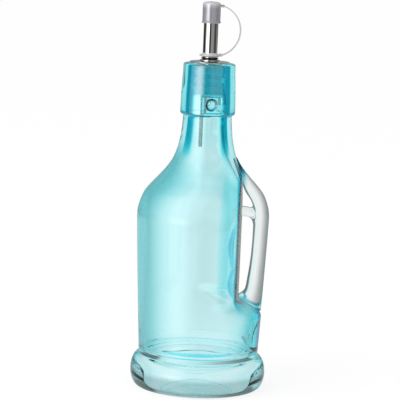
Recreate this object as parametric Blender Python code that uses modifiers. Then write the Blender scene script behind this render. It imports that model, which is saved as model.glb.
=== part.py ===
"""Oil cruet: an aqua glass bottle with a clear glass grip handle inside its round outline,
and a steel pourer with a ribbed stopper, an air tube and a tethered dust cap.

The bottle stands on the XY plane with its axis on Z. The handle is on the +X side.
Run it with: blender --background --python part.py
"""

import math

import bmesh
import bpy
from mathutils import Vector

MM = 0.001

# Clearances
SEAT_GAP = 0.3 * MM  # between pieces that seat on each other
CUT_OVERRUN = 2.0 * MM  # how far a cutter or a joined end runs past the surface it meets

# Bottle: the swollen foot
FOOT_RADIUS = 41.2 * MM
FOOT_HEIGHT = 19.8 * MM
FOOT_TOP_ANGLE = 84  # where the swelling starts, in degrees above its widest point
FOOT_WAIST_ANGLE = -15  # where it starts to turn in to the standing ring
STANDING_RADIUS = 36.2 * MM  # outer edge of the flat ring that it stands on
STANDING_WIDTH = 3.4 * MM
PUNT_DEPTH = 3.0 * MM  # hollow under the base

# Bottle: wall, shoulder, neck and collar
WALL_FOOT_RADIUS = 36.4 * MM
SHOULDER_RADIUS = 40.4 * MM
BOTTLE_HEIGHT = 198.0 * MM
COLLAR_RADIUS = 16.6 * MM
COLLAR_TOP_RADIUS = 15.7 * MM
COLLAR_LENGTH = 31.0 * MM
COLLAR_UNDERCUT = 1.6 * MM  # height of the slope under the collar
NECK_RADIUS = 14.8 * MM
NECK_DROP = 2.0 * MM  # the shoulder's curve ends this far below the collar
NECK_HEIGHT = BOTTLE_HEIGHT - COLLAR_LENGTH - NECK_DROP
SHOULDER_RISE = 61.0 * MM  # height of the shoulder's curve, from the widest place to the neck
SHOULDER_HEIGHT = NECK_HEIGHT - SHOULDER_RISE
RIM_ROUND = 1.3 * MM

# Bottle: cavity
WALL_THICKNESS = 3.2 * MM
FLOOR_HEIGHT = 21.5 * MM
FLOOR_CROWN = 1.2 * MM  # the floor's middle stands this much above its edge
FLOOR_CORNER = 6.0 * MM
MOUTH_BORE_RADIUS = 9.6 * MM
MOUTH_BORE_LENGTH = 15.0 * MM
BORE_SWELL_RADIUS = 11.2 * MM  # the blown part of the bore behind the collar
BORE_SWELL_DEPTH = 23.0 * MM
NECK_BORE_RADIUS = 10.4 * MM
SHOULDER_DROP = 2.4 * MM  # the cavity's shoulder lies this much lower than the outer one

# Bottle: the pressed-in grip panel behind the handle, its ledge and its finger hollows
PANEL_REACH = 22.9 * MM  # from the axis to the panel's middle
PANEL_WALL = 3.5 * MM
PANEL_BLEND = 9.0 * MM  # softness of the turn from shoulder to panel
LEDGE_TOP_HEIGHT = 55.4 * MM
LEDGE_DROP = 7.3 * MM  # from its top at the panel down to its outer edge
LEDGE_FOOT_HEIGHT = LEDGE_TOP_HEIGHT - LEDGE_DROP
LEDGE_FILLET = 4.0 * MM
LEDGE_ROUND = 8.0 * MM
UPPER_HOLLOW_RISE = 29.6 * MM  # its middle above the ledge's top
UPPER_HOLLOW_LENGTH = 36.0 * MM
UPPER_HOLLOW_DEPTH = 3.9 * MM
LOWER_HOLLOW_RISE = 6.6 * MM
LOWER_HOLLOW_LENGTH = 30.0 * MM
LOWER_HOLLOW_DEPTH = 2.1 * MM
HOLLOW_WIDTH = 26.0 * MM

# Bottle: the two dimples in the collar that a wire bail would hook into, each in a flat pocket
DIMPLE_DROP = 24.2 * MM  # below the mouth
DIMPLE_BALL_RADIUS = 3.9 * MM
DIMPLE_DEPTH = 2.6 * MM
POCKET_WIDTH = 10.8 * MM
POCKET_TALL = 9.8 * MM
POCKET_DEPTH = 1.25 * MM
POCKET_ROUND = 1.0 * MM

# Handle
HANDLE_TAIL_RISE = 38.0 * MM  # its tip above the shoulder's widest place
HANDLE_WIDTH = 13.0 * MM
HANDLE_SQUARENESS = 2.5  # exponent of the bar's rounded section
HANDLE_LAP = 4.4 * MM  # how far its uncut tail and foot could run into the bottle's wall
BRIDGE_RISE = 4.6 * MM  # middle of the bridge between handle and bottle, above the shoulder
BRIDGE_DEPTH = 6.6 * MM
BRIDGE_WIDTH = 9.0 * MM
BRIDGE_FALL = 2.6 * MM  # its top slopes down this much towards the handle
LOOP_CORNER_RADIUS = 5.6 * MM  # round of the finger loop's upper corner

# Pourer: steel tube, cover plate, stopper and air tube
TUBE_RADIUS = 4.4 * MM
TUBE_WALL = 0.4 * MM
TUBE_RISE = 35.5 * MM  # above the mouth
TUBE_DEPTH = 12.0 * MM  # below the mouth
BEAD_RADIUS = 5.1 * MM
BEAD_HEIGHT = 1.1 * MM
PLATE_RADIUS = 12.1 * MM
PLATE_THICKNESS = 0.7 * MM
PLATE_DOME = 0.5 * MM
HUB_RADIUS = 6.1 * MM
HUB_HEIGHT = 0.6 * MM
STOPPER_CORE_RADIUS = 7.9 * MM
STOPPER_LENGTH = 18.6 * MM
STOPPER_MOUTH_RADIUS = 6.3 * MM
STOPPER_MOUTH_DEPTH = 5.6 * MM
RIB_COUNT = 4
RIB_PITCH = 4.9 * MM
RIB_THICKNESS = 0.8 * MM
RIB_SLOPE = 0.9 * MM  # each rib's edge lies this much above its root
AIR_TUBE_RADIUS = 1.15 * MM
AIR_TUBE_WALL = 0.35 * MM
AIR_TUBE_TOP = 28.0 * MM  # above the mouth
AIR_TUBE_DEPTH = 51.0 * MM  # below the mouth
AIR_TUBE_OFFSET = 3.7 * MM  # from the axis, below the stopper

# Tether ring, strap and dust cap, moulded together in soft plastic
RING_RADIUS = 6.4 * MM
RING_HEIGHT = 2.4 * MM
RING_ROUND = 0.6 * MM
CAP_RADIUS = 5.45 * MM
CAP_LIP_RADIUS = 5.8 * MM
CAP_LIP_HEIGHT = 1.0 * MM
CAP_HEIGHT = 11.8 * MM  # lip to top edge
CAP_DOME = 1.6 * MM
CAP_TOP_THICKNESS = 1.2 * MM
LUG_REACH = 7.6 * MM  # from the axis to a lug's outer face
LUG_WIDTH = 3.2 * MM
LUG_THICKNESS = 1.6 * MM
STRAP_REACH = 18.4 * MM  # from the axis to the strap's furthest point
STRAP_WIDTH = 2.6 * MM
STRAP_THICKNESS = 0.8 * MM

# Facets round each turned piece
BOTTLE_STEPS = 48
POURER_STEPS = 32

# Shoulder curve: share of the rise from shoulder to neck, share of the way in that is left
SHOULDER_SHARES = (
    (0.0, 1.0),
    (0.08, 0.985),
    (0.16, 0.935),
    (0.25, 0.84),
    (0.33, 0.69),
    (0.41, 0.515),
    (0.50, 0.335),
    (0.58, 0.21),
    (0.66, 0.13),
    (0.74, 0.075),
    (0.83, 0.033),
    (1.0, 0.0),
)

# Handle stations, tail first. Each row: height of the outer line and of the inner line, as
# shares of the rise from ledge foot to tail; inner line's way out from panel to outline;
# width as a share of the handle's width.
HANDLE_STATION_SHARES = (
    (1.00, 0.985, -0.50, 0.30),
    (0.965, 0.930, -0.40, 0.46),
    (0.905, 0.872, -0.12, 0.62),
    (0.860, 0.815, 0.045, 0.76),
    (0.818, 0.760, 0.215, 0.86),
    (0.770, 0.718, 0.375, 0.93),
    (0.715, 0.678, 0.455, 0.98),
    (0.650, 0.632, 0.475, 1.00),
    (0.585, 0.580, 0.475, 1.00),
    (0.510, 0.510, 0.475, 1.00),
    (0.445, 0.445, 0.475, 1.00),
    (0.360, 0.358, 0.460, 1.00),
    (0.280, 0.276, 0.425, 1.02),
    (0.200, 0.197, 0.370, 1.06),
    (0.125, 0.128, 0.310, 1.12),
    (0.075, 0.106, 0.200, 1.18),
    (0.035, 0.090, 0.060, 1.24),
    (-0.015, 0.050, -0.080, 1.30),
)

# Bridge stations: share of its run from panel to handle, share of its flare
# Stations along the bridge, from the panel to inside the handle's bar
BRIDGE_STATION_SHARES = (0.0, 0.45, 0.58, 0.68, 0.76, 0.82, 1.0)
HANDLE_FACE_SHARE = 0.475  # way out from panel to outline, of the bar's inner face at the bridge


def remove_all():
    """Start from an empty scene."""
    for item in list(bpy.data.objects):
        bpy.data.objects.remove(item)


def new_collection(name, helpers=False):
    made = bpy.data.collections.new(name)
    bpy.context.scene.collection.children.link(made)
    made.hide_render = helpers
    return made


def new_material(name, colour, roughness, metallic=0.0, transmission=0.0):
    made = bpy.data.materials.new(name)
    made.use_nodes = True
    shader = made.node_tree.nodes["Principled BSDF"]
    shader.inputs["Base Color"].default_value = (*colour, 1.0)
    shader.inputs["Roughness"].default_value = roughness
    shader.inputs["Metallic"].default_value = metallic
    shader.inputs["Transmission Weight"].default_value = transmission
    return made


def new_object(name, mesh, collection, material=None):
    made = bpy.data.objects.new(name, mesh)
    collection.objects.link(made)
    if material is not None:
        mesh.materials.append(material)
    return made


def as_mesh(source, name, material=None):
    """Replace an object by its evaluated mesh, closed at its seams."""
    graph = bpy.context.evaluated_depsgraph_get()
    mesh = bpy.data.meshes.new_from_object(source.evaluated_get(graph))
    work = bmesh.new()
    work.from_mesh(mesh)
    bmesh.ops.remove_doubles(work, verts=work.verts, dist=SEAT_GAP / 1000)
    bmesh.ops.recalc_face_normals(work, faces=work.faces)
    work.to_mesh(mesh)
    work.free()
    mesh.materials.clear()
    collection = source.users_collection[0]
    place = source.matrix_world.copy()
    bpy.data.objects.remove(source)
    made = new_object(name, mesh, collection, material)
    made.matrix_world = place
    return made


def combine(target, other, operation):
    """Cut or join with an exact Boolean and keep the result as a plain mesh."""
    name = target.name
    material = target.data.materials[0] if target.data.materials else None
    target.name = name + "_blank"
    modifier = target.modifiers.new(operation.lower(), "BOOLEAN")
    modifier.operation = operation
    modifier.solver = "EXACT"
    modifier.object = other
    bpy.context.view_layer.update()
    made = as_mesh(target, name, material)
    bpy.data.objects.remove(other)
    return made


def turned(name, profile, steps, collection, material):
    """Turn a profile of (radius, height) pairs about Z. It runs down the outer side."""
    mesh = bpy.data.meshes.new(name)
    edges = [(i, i + 1) for i in range(len(profile) - 1)]
    if profile[0][0] > 0:
        edges.append((len(profile) - 1, 0))
    mesh.from_pydata([(r, 0, z) for r, z in profile], edges, [])
    made = new_object(name, mesh, collection, material)
    screw = made.modifiers.new("turn", "SCREW")
    screw.axis = "Z"
    screw.steps = steps
    screw.render_steps = steps
    screw.use_merge_vertices = True
    screw.merge_threshold = SEAT_GAP / 1000
    bpy.context.view_layer.update()
    return as_mesh(made, name, material)


def smooth(item, degrees=32):
    item.data.shade_smooth()
    item.data.set_sharp_from_angle(angle=math.radians(degrees))


def arc(centre, radii, start, end, count):
    """Points (radius, height) on an ellipse quarter or more, from start to end in degrees."""
    points = []
    for i in range(count + 1):
        turn = math.radians(start + (end - start) * i / count)
        points.append((centre[0] + radii[0] * math.cos(turn), centre[1] + radii[1] * math.sin(turn)))
    return points


def through(points, t):
    """Smooth curve through (t, value) pairs, by cubic pieces with averaged slopes."""
    last = len(points) - 1
    slopes = []
    for i in range(last + 1):
        before = points[max(i - 1, 0)]
        after = points[min(i + 1, last)]
        slopes.append((after[1] - before[1]) / (after[0] - before[0]))
    slopes[0] = 0.0
    slopes[last] = 0.0
    i = 0
    while i < last - 1 and t > points[i + 1][0]:
        i += 1
    span = points[i + 1][0] - points[i][0]
    u = min(max((t - points[i][0]) / span, 0.0), 1.0)
    start = (2 * u**3 - 3 * u**2 + 1) * points[i][1] + (u**3 - 2 * u**2 + u) * span * slopes[i]
    end = (3 * u**2 - 2 * u**3) * points[i + 1][1] + (u**3 - u**2) * span * slopes[i + 1]
    return start + end


def soft_min(a, b, blend):
    overlap = max(blend - abs(a - b), 0.0) / blend
    return min(a, b) - overlap * overlap * blend / 4


def soft_max(a, b, blend):
    return -soft_min(-a, -b, blend)


def bump(distance, half_length):
    """One in the middle, falling smoothly to zero half a length away."""
    if abs(distance) >= half_length:
        return 0.0
    return math.cos(math.pi / 2 * distance / half_length) ** 2


def outline_radius(height):
    """Outer radius of the bottle between foot and collar."""
    if height <= SHOULDER_HEIGHT:
        share = max((height - FOOT_HEIGHT) / (SHOULDER_HEIGHT - FOOT_HEIGHT), 0.0)
        rise = 1 - (1 - share) ** 1.15
        return WALL_FOOT_RADIUS + (SHOULDER_RADIUS - WALL_FOOT_RADIUS) * rise
    share = (height - SHOULDER_HEIGHT) / (NECK_HEIGHT - SHOULDER_HEIGHT)
    left = through(SHOULDER_SHARES, min(share, 1.0))
    return NECK_RADIUS + (SHOULDER_RADIUS - NECK_RADIUS) * left


def cavity_radius(height):
    """Inner radius of the bottle between floor and neck."""
    top = SHOULDER_HEIGHT - SHOULDER_DROP
    if height <= top:
        return outline_radius(height) - WALL_THICKNESS
    share = (height - top) / (NECK_HEIGHT - SHOULDER_HEIGHT)
    left = through(SHOULDER_SHARES, min(share, 1.0))
    return NECK_BORE_RADIUS + (outline_radius(top) - WALL_THICKNESS - NECK_BORE_RADIUS) * left


def panel_reach(height, radius, grow):
    """How far the surface reaches towards +X behind the handle. Grow moves it outwards."""
    run = (outline_radius(LEDGE_FOOT_HEIGHT) - PANEL_REACH) / (LEDGE_TOP_HEIGHT - LEDGE_FOOT_HEIGHT)
    ledge = PANEL_REACH + (LEDGE_TOP_HEIGHT - height) * run + grow * math.hypot(1.0, run)
    inner = soft_max(PANEL_REACH + grow, ledge, LEDGE_FILLET)
    blend = PANEL_BLEND if height > LEDGE_TOP_HEIGHT + UPPER_HOLLOW_RISE else LEDGE_ROUND
    return soft_min(radius, inner, blend)


def hollow_depth(across, height):
    """Depth of the two finger hollows below the panel."""
    rise = height - LEDGE_TOP_HEIGHT
    upper = UPPER_HOLLOW_DEPTH * bump(rise - UPPER_HOLLOW_RISE, UPPER_HOLLOW_LENGTH / 2)
    lower = LOWER_HOLLOW_DEPTH * bump(rise - LOWER_HOLLOW_RISE, LOWER_HOLLOW_LENGTH / 2)
    return (upper + lower) * bump(across, HOLLOW_WIDTH / 2)


def press_in(mesh, radius_at, grow):
    """Press the round wall in behind the handle: each section becomes half round, half oval."""
    for vertex in mesh.vertices:
        x, y, z = vertex.co
        if x <= 0 or not LEDGE_FOOT_HEIGHT - FOOT_HEIGHT < z < NECK_HEIGHT:
            continue
        own = math.hypot(x, y)
        radius = radius_at(vertex)
        if radius is None:
            continue
        reach = panel_reach(z, radius, grow(vertex))
        oval = 1 / math.hypot(x / own / reach, y / own / radius)
        across = oval * y / own
        vertex.co = (oval * x / own - hollow_depth(across, z), across, z)


def rows(low, high, count):
    """Evenly spaced heights from high down to low, both ends included."""
    return [high + (low - high) * i / count for i in range(count + 1)]


def wall_heights():
    """Heights where the wall has a ring of points, from the neck down to the foot."""
    shoulder = rows(SHOULDER_HEIGHT, NECK_HEIGHT, 15)
    grip = rows(LEDGE_TOP_HEIGHT, SHOULDER_HEIGHT, 11)[1:]
    ledge = rows(LEDGE_FOOT_HEIGHT, LEDGE_TOP_HEIGHT, 4)[1:]
    lower = rows(FOOT_HEIGHT, LEDGE_FOOT_HEIGHT, 4)[1:]
    return shoulder + grip + ledge + lower


def outer_profile():
    """Outer side from the rim down to the standing ring and the punt."""
    collar_foot = BOTTLE_HEIGHT - COLLAR_LENGTH
    collar_middle = COLLAR_TOP_RADIUS + (COLLAR_RADIUS - COLLAR_TOP_RADIUS) * 0.6
    rim = arc(
        (COLLAR_TOP_RADIUS - RIM_ROUND, BOTTLE_HEIGHT - RIM_ROUND), (RIM_ROUND, RIM_ROUND), 90, 0, 3
    )
    collar = [
        (collar_middle, BOTTLE_HEIGHT - COLLAR_LENGTH / 2),
        (COLLAR_RADIUS, collar_foot + COLLAR_UNDERCUT * 2),
        (COLLAR_RADIUS, collar_foot + COLLAR_UNDERCUT / 2),
        (COLLAR_RADIUS - COLLAR_UNDERCUT / 2, collar_foot),
    ]
    wall = [(outline_radius(z), z) for z in wall_heights()]
    middle = FOOT_HEIGHT / 2
    # The foot swells from the wall's radius to its own and back to the standing ring.
    swell = (FOOT_RADIUS - WALL_FOOT_RADIUS, middle)
    turn_in = (FOOT_RADIUS - STANDING_RADIUS, middle)
    upper = arc((WALL_FOOT_RADIUS, middle), swell, FOOT_TOP_ANGLE, 0, 5)
    lower = arc((STANDING_RADIUS, middle), turn_in, FOOT_WAIST_ANGLE, -90, 5)
    return rim + collar + wall + upper + lower


def base_profile():
    """Underside, from the inner edge of the standing ring to the axis."""
    edge = STANDING_RADIUS - STANDING_WIDTH
    return [(edge * (1 - i / 3), PUNT_DEPTH * (1 - (1 - i / 3) ** 2)) for i in range(4)]


def inner_profile():
    """Cavity side, from the middle of the floor up to the mouth."""
    corner_radius = cavity_radius(FLOOR_HEIGHT + FLOOR_CORNER) - FLOOR_CORNER
    floor = [(0, FLOOR_HEIGHT + FLOOR_CROWN), (corner_radius / 2, FLOOR_HEIGHT + FLOOR_CROWN * 0.7)]
    corner = arc(
        (corner_radius, FLOOR_HEIGHT + FLOOR_CORNER), (FLOOR_CORNER, FLOOR_CORNER), -90, 0, 4
    )
    low = LEDGE_FOOT_HEIGHT - PANEL_WALL
    lower = rows(low, FLOOR_HEIGHT + FLOOR_CORNER, 2)[1:]
    ledge = rows(LEDGE_TOP_HEIGHT - PANEL_WALL, low, 4)[1:]
    grip = rows(SHOULDER_HEIGHT - SHOULDER_DROP, LEDGE_TOP_HEIGHT - PANEL_WALL, 10)[1:]
    shoulder = rows(NECK_HEIGHT - SHOULDER_DROP, SHOULDER_HEIGHT - SHOULDER_DROP, 13)[1:]
    wall = [(cavity_radius(z), z) for z in lower + ledge + grip + shoulder]
    bore = [
        (BORE_SWELL_RADIUS, BOTTLE_HEIGHT - BORE_SWELL_DEPTH),
        (MOUTH_BORE_RADIUS, BOTTLE_HEIGHT - MOUTH_BORE_LENGTH),
        (MOUTH_BORE_RADIUS, BOTTLE_HEIGHT - RIM_ROUND),
        (MOUTH_BORE_RADIUS + RIM_ROUND, BOTTLE_HEIGHT),
    ]
    return floor + corner + wall + bore


def new_cutter(name, work, place, helpers):
    mesh = bpy.data.meshes.new(name)
    work.to_mesh(mesh)
    work.free()
    cutter = new_object(name, mesh, helpers)
    cutter.location = place
    bpy.context.view_layer.update()
    return cutter


def pocket_cutter(side, helpers):
    """Cuts a flat pocket with rounded corners into the collar."""
    work = bmesh.new()
    bmesh.ops.create_cube(work, size=1.0)
    size = Vector((POCKET_WIDTH, POCKET_DEPTH * 2, POCKET_TALL))
    bmesh.ops.scale(work, vec=size, verts=work.verts)
    corners = [e for e in work.edges if abs(e.verts[0].co.y - e.verts[1].co.y) > POCKET_DEPTH]
    bmesh.ops.bevel(
        work, geom=corners, offset=POCKET_ROUND, segments=2, profile=0.5, affect="EDGES"
    )
    place = (0, side * COLLAR_RADIUS, BOTTLE_HEIGHT - DIMPLE_DROP)
    return new_cutter("pocket_cutter", work, place, helpers)


def dimple_cutter(side, helpers):
    """Cuts the round dimple in the middle of a pocket."""
    work = bmesh.new()
    bmesh.ops.create_uvsphere(work, u_segments=16, v_segments=10, radius=DIMPLE_BALL_RADIUS)
    out = COLLAR_RADIUS + DIMPLE_BALL_RADIUS - DIMPLE_DEPTH
    place = (0, side * out, BOTTLE_HEIGHT - DIMPLE_DROP)
    return new_cutter("dimple_cutter", work, place, helpers)


def make_bottle(collection, helpers, material):
    profile = inner_profile() + outer_profile() + base_profile()
    bottle = turned("glass_bottle", profile, BOTTLE_STEPS, collection, material)

    def is_inner(vertex):
        own = math.hypot(vertex.co.x, vertex.co.y)
        return own < (outline_radius(vertex.co.z) + cavity_radius(vertex.co.z)) / 2

    inner = {v.index for v in bottle.data.vertices if is_inner(v)}

    def radius_at(vertex):
        height = vertex.co.z
        return cavity_radius(height) if vertex.index in inner else outline_radius(height)

    press_in(bottle.data, radius_at, lambda v: -PANEL_WALL if v.index in inner else 0.0)
    for side in (-1, 1):
        bottle = combine(bottle, pocket_cutter(side, helpers), "DIFFERENCE")
        bottle = combine(bottle, dimple_cutter(side, helpers), "DIFFERENCE")
    smooth(bottle, 40)
    return bottle


def bottle_skin(helpers):
    """The bottle's outer form grown by the seat gap, solid: what the handle is cut to."""
    low = (LEDGE_FOOT_HEIGHT + FOOT_HEIGHT) / 2
    heights = [z for z in wall_heights() if z > low]
    points = [(outline_radius(z) + SEAT_GAP, z) for z in heights]
    profile = [(0, heights[0])] + points + [(0, heights[-1])]
    skin = turned("bottle_skin", profile, BOTTLE_STEPS * 2, helpers, None)

    def radius_at(vertex):
        own = math.hypot(vertex.co.x, vertex.co.y)
        return outline_radius(vertex.co.z) + SEAT_GAP if own > SEAT_GAP else None

    press_in(skin.data, radius_at, lambda v: SEAT_GAP)
    return skin


def rounded(value):
    """Rounds a unit circle's coordinate towards a rounded square."""
    return math.copysign(abs(value) ** (2 / HANDLE_SQUARENESS), value)


def loft(name, rings, collection, material):
    """Close a solid over rings of points that all hold the same count."""
    work = bmesh.new()
    loops = [[work.verts.new(point) for point in ring] for ring in rings]
    count = len(loops[0])
    for first, second in zip(loops, loops[1:]):
        for i in range(count):
            j = (i + 1) % count
            work.faces.new((first[i], first[j], second[j], second[i]))
    work.faces.new(loops[0])
    work.faces.new(loops[-1])
    bmesh.ops.recalc_face_normals(work, faces=work.faces)
    mesh = bpy.data.meshes.new(name)
    work.to_mesh(mesh)
    work.free()
    return new_object(name, mesh, collection, material)


def section(inner, outer, half_width, count):
    """A ring in the plane of Y and the line from inner to outer, both (x, z)."""
    middle = Vector(((inner[0] + outer[0]) / 2, 0, (inner[1] + outer[1]) / 2))
    half = Vector(((outer[0] - inner[0]) / 2, 0, (outer[1] - inner[1]) / 2))
    ring = []
    for i in range(count):
        turn = 2 * math.pi * i / count
        across = Vector((0, half_width * rounded(math.sin(turn)), 0))
        ring.append(middle + half * rounded(math.cos(turn)) + across)
    return ring


def make_bridge(helpers):
    """The bridge from panel to bar. Its underside rounds into the finger loop's upper corner."""
    height = SHOULDER_HEIGHT + BRIDGE_RISE
    start = PANEL_REACH - CUT_OVERRUN
    bar_face = PANEL_REACH + (outline_radius(height) - PANEL_REACH) * HANDLE_FACE_SHARE
    end = bar_face + HANDLE_LAP
    rings = []
    for along in BRIDGE_STATION_SHARES:
        x = start + (end - start) * along
        near = min(max(x - bar_face + LOOP_CORNER_RADIUS, 0.0), LOOP_CORNER_RADIUS)
        drop = LOOP_CORNER_RADIUS - math.sqrt(LOOP_CORNER_RADIUS**2 - near**2)
        low = height - BRIDGE_DEPTH / 2 - drop
        high = height + BRIDGE_DEPTH / 2 - BRIDGE_FALL * along**1.5
        rings.append(section((x, low), (x, high), BRIDGE_WIDTH / 2, 12))
    return loft("bridge", rings, helpers, None)


def make_handle(collection, helpers, material):
    """Solid glass bar inside the bottle's outline, bridged to the panel, seated on the ledge."""
    rise = SHOULDER_HEIGHT + HANDLE_TAIL_RISE - LEDGE_FOOT_HEIGHT
    rings = []
    for outer_share, inner_share, out_share, width_share in HANDLE_STATION_SHARES:
        outer_height = LEDGE_FOOT_HEIGHT + rise * outer_share
        inner_height = LEDGE_FOOT_HEIGHT + rise * inner_share
        outline = outline_radius(inner_height)
        panel = panel_reach(max(inner_height, LEDGE_TOP_HEIGHT + LEDGE_FILLET), outline, 0.0)
        way_out = outline - panel if out_share > 0 else HANDLE_LAP
        inner = (panel + way_out * out_share, inner_height)
        outer = (outline_radius(outer_height), outer_height)
        rings.append(section(inner, outer, HANDLE_WIDTH / 2 * width_share, 14))
    bar = loft("glass_handle", rings, collection, material)
    bar = combine(bar, make_bridge(helpers), "UNION")
    bar = combine(bar, bottle_skin(helpers), "DIFFERENCE")
    smooth(bar, 40)
    return bar


def make_plate(collection, material):
    """Domed steel cover plate with a raised hub, on the bottle's rim."""
    low = BOTTLE_HEIGHT + SEAT_GAP
    hole = TUBE_RADIUS + SEAT_GAP
    top = low + PLATE_DOME + PLATE_THICKNESS + HUB_HEIGHT
    profile = [
        (hole, top),
        (HUB_RADIUS - HUB_HEIGHT / 2, top),
        (HUB_RADIUS, top - HUB_HEIGHT / 2),
        (HUB_RADIUS, low + PLATE_DOME + PLATE_THICKNESS),
        ((HUB_RADIUS + PLATE_RADIUS) / 2, low + PLATE_DOME * 0.7 + PLATE_THICKNESS),
        (PLATE_RADIUS - PLATE_THICKNESS / 2, low + PLATE_THICKNESS),
        (PLATE_RADIUS, low + PLATE_THICKNESS / 2),
        (PLATE_RADIUS - PLATE_THICKNESS / 4, low),
        (hole, low),
    ]
    plate = turned("cover_plate", profile, POURER_STEPS, collection, material)
    smooth(plate)
    return top


def make_tube(collection, material, plate_top):
    """Steel pouring tube with a swaged bead that sits on the plate's hub."""
    foot = BOTTLE_HEIGHT - TUBE_DEPTH
    top = BOTTLE_HEIGHT + TUBE_RISE
    bore = TUBE_RADIUS - TUBE_WALL
    bead = plate_top + SEAT_GAP
    profile = [
        (bore, top),
        (TUBE_RADIUS - TUBE_WALL / 4, top),
        (TUBE_RADIUS, top - TUBE_WALL / 2),
        (TUBE_RADIUS, bead + BEAD_HEIGHT),
        (BEAD_RADIUS, bead + BEAD_HEIGHT * 0.75),
        (BEAD_RADIUS, bead + BEAD_HEIGHT * 0.25),
        (TUBE_RADIUS, bead),
        (TUBE_RADIUS, foot),
        (bore, foot),
    ]
    tube = turned("pour_tube", profile, POURER_STEPS, collection, material)
    smooth(tube)
    return bead + BEAD_HEIGHT


def make_stopper(collection, material):
    """Soft plug with sloping ribs that seal in the mouth's bore."""
    top = BOTTLE_HEIGHT
    foot = top - STOPPER_LENGTH
    bore = TUBE_RADIUS + SEAT_GAP
    rib = MOUTH_BORE_RADIUS - SEAT_GAP
    profile = [(bore, top), (STOPPER_CORE_RADIUS, top)]
    first = foot + RIB_PITCH * (RIB_COUNT - 1)
    for i in range(RIB_COUNT):
        root = first - RIB_PITCH * i
        profile += [
            (STOPPER_CORE_RADIUS, root + RIB_THICKNESS * 1.5),
            (rib, root + RIB_SLOPE + RIB_THICKNESS / 2),
            (rib, root + RIB_SLOPE - RIB_THICKNESS / 2),
            (STOPPER_CORE_RADIUS, root),
        ]
    shelf = foot + STOPPER_MOUTH_DEPTH
    profile += [
        (STOPPER_MOUTH_RADIUS, foot),
        (STOPPER_MOUTH_RADIUS, shelf),
        (bore, shelf + (STOPPER_MOUTH_RADIUS - bore) / 2),
    ]
    stopper = turned("ribbed_stopper", profile, POURER_STEPS, collection, material)
    smooth(stopper)


def make_air_tube(collection, material):
    """Thin steel tube that lets air in while oil pours, stepped outwards in the stopper."""
    inside = -(TUBE_RADIUS - TUBE_WALL - SEAT_GAP - AIR_TUBE_RADIUS)
    bend_top = BOTTLE_HEIGHT - TUBE_DEPTH - SEAT_GAP
    bend_foot = BOTTLE_HEIGHT - STOPPER_LENGTH + AIR_TUBE_RADIUS
    curve = bpy.data.curves.new("air_tube", "CURVE")
    curve.dimensions = "3D"
    curve.bevel_depth = AIR_TUBE_RADIUS
    curve.bevel_resolution = 2
    spline = curve.splines.new("POLY")
    points = [(inside, BOTTLE_HEIGHT + AIR_TUBE_TOP), (inside, bend_top)]
    for share in (0.25, 0.5, 0.75, 1.0):
        turn = (1 - math.cos(math.pi * share)) / 2
        points.append(
            (inside + (-AIR_TUBE_OFFSET - inside) * turn, bend_top + (bend_foot - bend_top) * share)
        )
    points.append((-AIR_TUBE_OFFSET, BOTTLE_HEIGHT - AIR_TUBE_DEPTH))
    spline.points.add(len(points) - 1)
    for point, (x, z) in zip(spline.points, points):
        point.co = (x, 0, z, 1)
    tube = new_object("air_tube", curve, collection, None)
    tube = as_mesh(tube, "air_tube", material)
    shell = tube.modifiers.new("wall", "SOLIDIFY")
    shell.thickness = AIR_TUBE_WALL
    shell.offset = -1
    smooth(tube, 50)


def make_lug(low, root, collection):
    """A short tongue towards +X, from a wall at root out to the lug's reach."""
    work = bmesh.new()
    bmesh.ops.create_cube(work, size=1.0)
    start = root - STRAP_THICKNESS
    length = LUG_REACH - start
    size = Vector((length, LUG_WIDTH, LUG_THICKNESS))
    bmesh.ops.scale(work, vec=size, verts=work.verts)
    centre = Vector((start + length / 2, 0, low + LUG_THICKNESS / 2))
    bmesh.ops.translate(work, vec=centre, verts=work.verts)
    mesh = bpy.data.meshes.new("lug")
    work.to_mesh(mesh)
    work.free()
    return new_object("lug", mesh, collection)


def make_ring(collection, helpers, material, seat):
    """Tether ring, free to turn about the tube above the bead."""
    low = seat + SEAT_GAP
    top = low + RING_HEIGHT
    bore = TUBE_RADIUS + SEAT_GAP
    profile = [
        (bore, top),
        (RING_RADIUS - RING_ROUND, top),
        (RING_RADIUS, top - RING_ROUND),
        (RING_RADIUS, low + RING_ROUND),
        (RING_RADIUS - RING_ROUND, low),
        (bore, low),
    ]
    ring = turned("tether_ring", profile, POURER_STEPS, collection, material)
    lug_low = low + (RING_HEIGHT - LUG_THICKNESS) / 2
    ring = combine(ring, make_lug(lug_low, RING_RADIUS, helpers), "UNION")
    smooth(ring)
    return lug_low + LUG_THICKNESS / 2


def make_cap(collection, helpers, material):
    """Soft dust cap over the tube's end, with a lip below and a domed top."""
    tube_top = BOTTLE_HEIGHT + TUBE_RISE
    bore = TUBE_RADIUS + SEAT_GAP
    ceiling = tube_top + SEAT_GAP
    crown = ceiling + CAP_TOP_THICKNESS
    edge = crown - CAP_DOME + STRAP_THICKNESS / 2
    low = edge - CAP_HEIGHT
    outside = arc((0, edge), (CAP_RADIUS, crown - edge), 90, 12, 4)
    profile = (
        [(0, ceiling), (bore - RING_ROUND, ceiling), (bore, ceiling - RING_ROUND), (bore, low)]
        + [(CAP_LIP_RADIUS - RING_ROUND / 3, low), (CAP_LIP_RADIUS, low + CAP_LIP_HEIGHT * 0.4)]
        + [(CAP_LIP_RADIUS, low + CAP_LIP_HEIGHT * 0.7), (CAP_RADIUS, low + CAP_LIP_HEIGHT)]
        + [(CAP_RADIUS, edge - RING_ROUND / 2)]
    )
    cap = turned("dust_cap", (profile + outside[::-1])[::-1], POURER_STEPS, collection, material)
    lug_low = edge - LUG_THICKNESS - RING_ROUND
    cap = combine(cap, make_lug(lug_low, CAP_RADIUS, helpers), "UNION")
    smooth(cap)
    return lug_low + LUG_THICKNESS / 2


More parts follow.
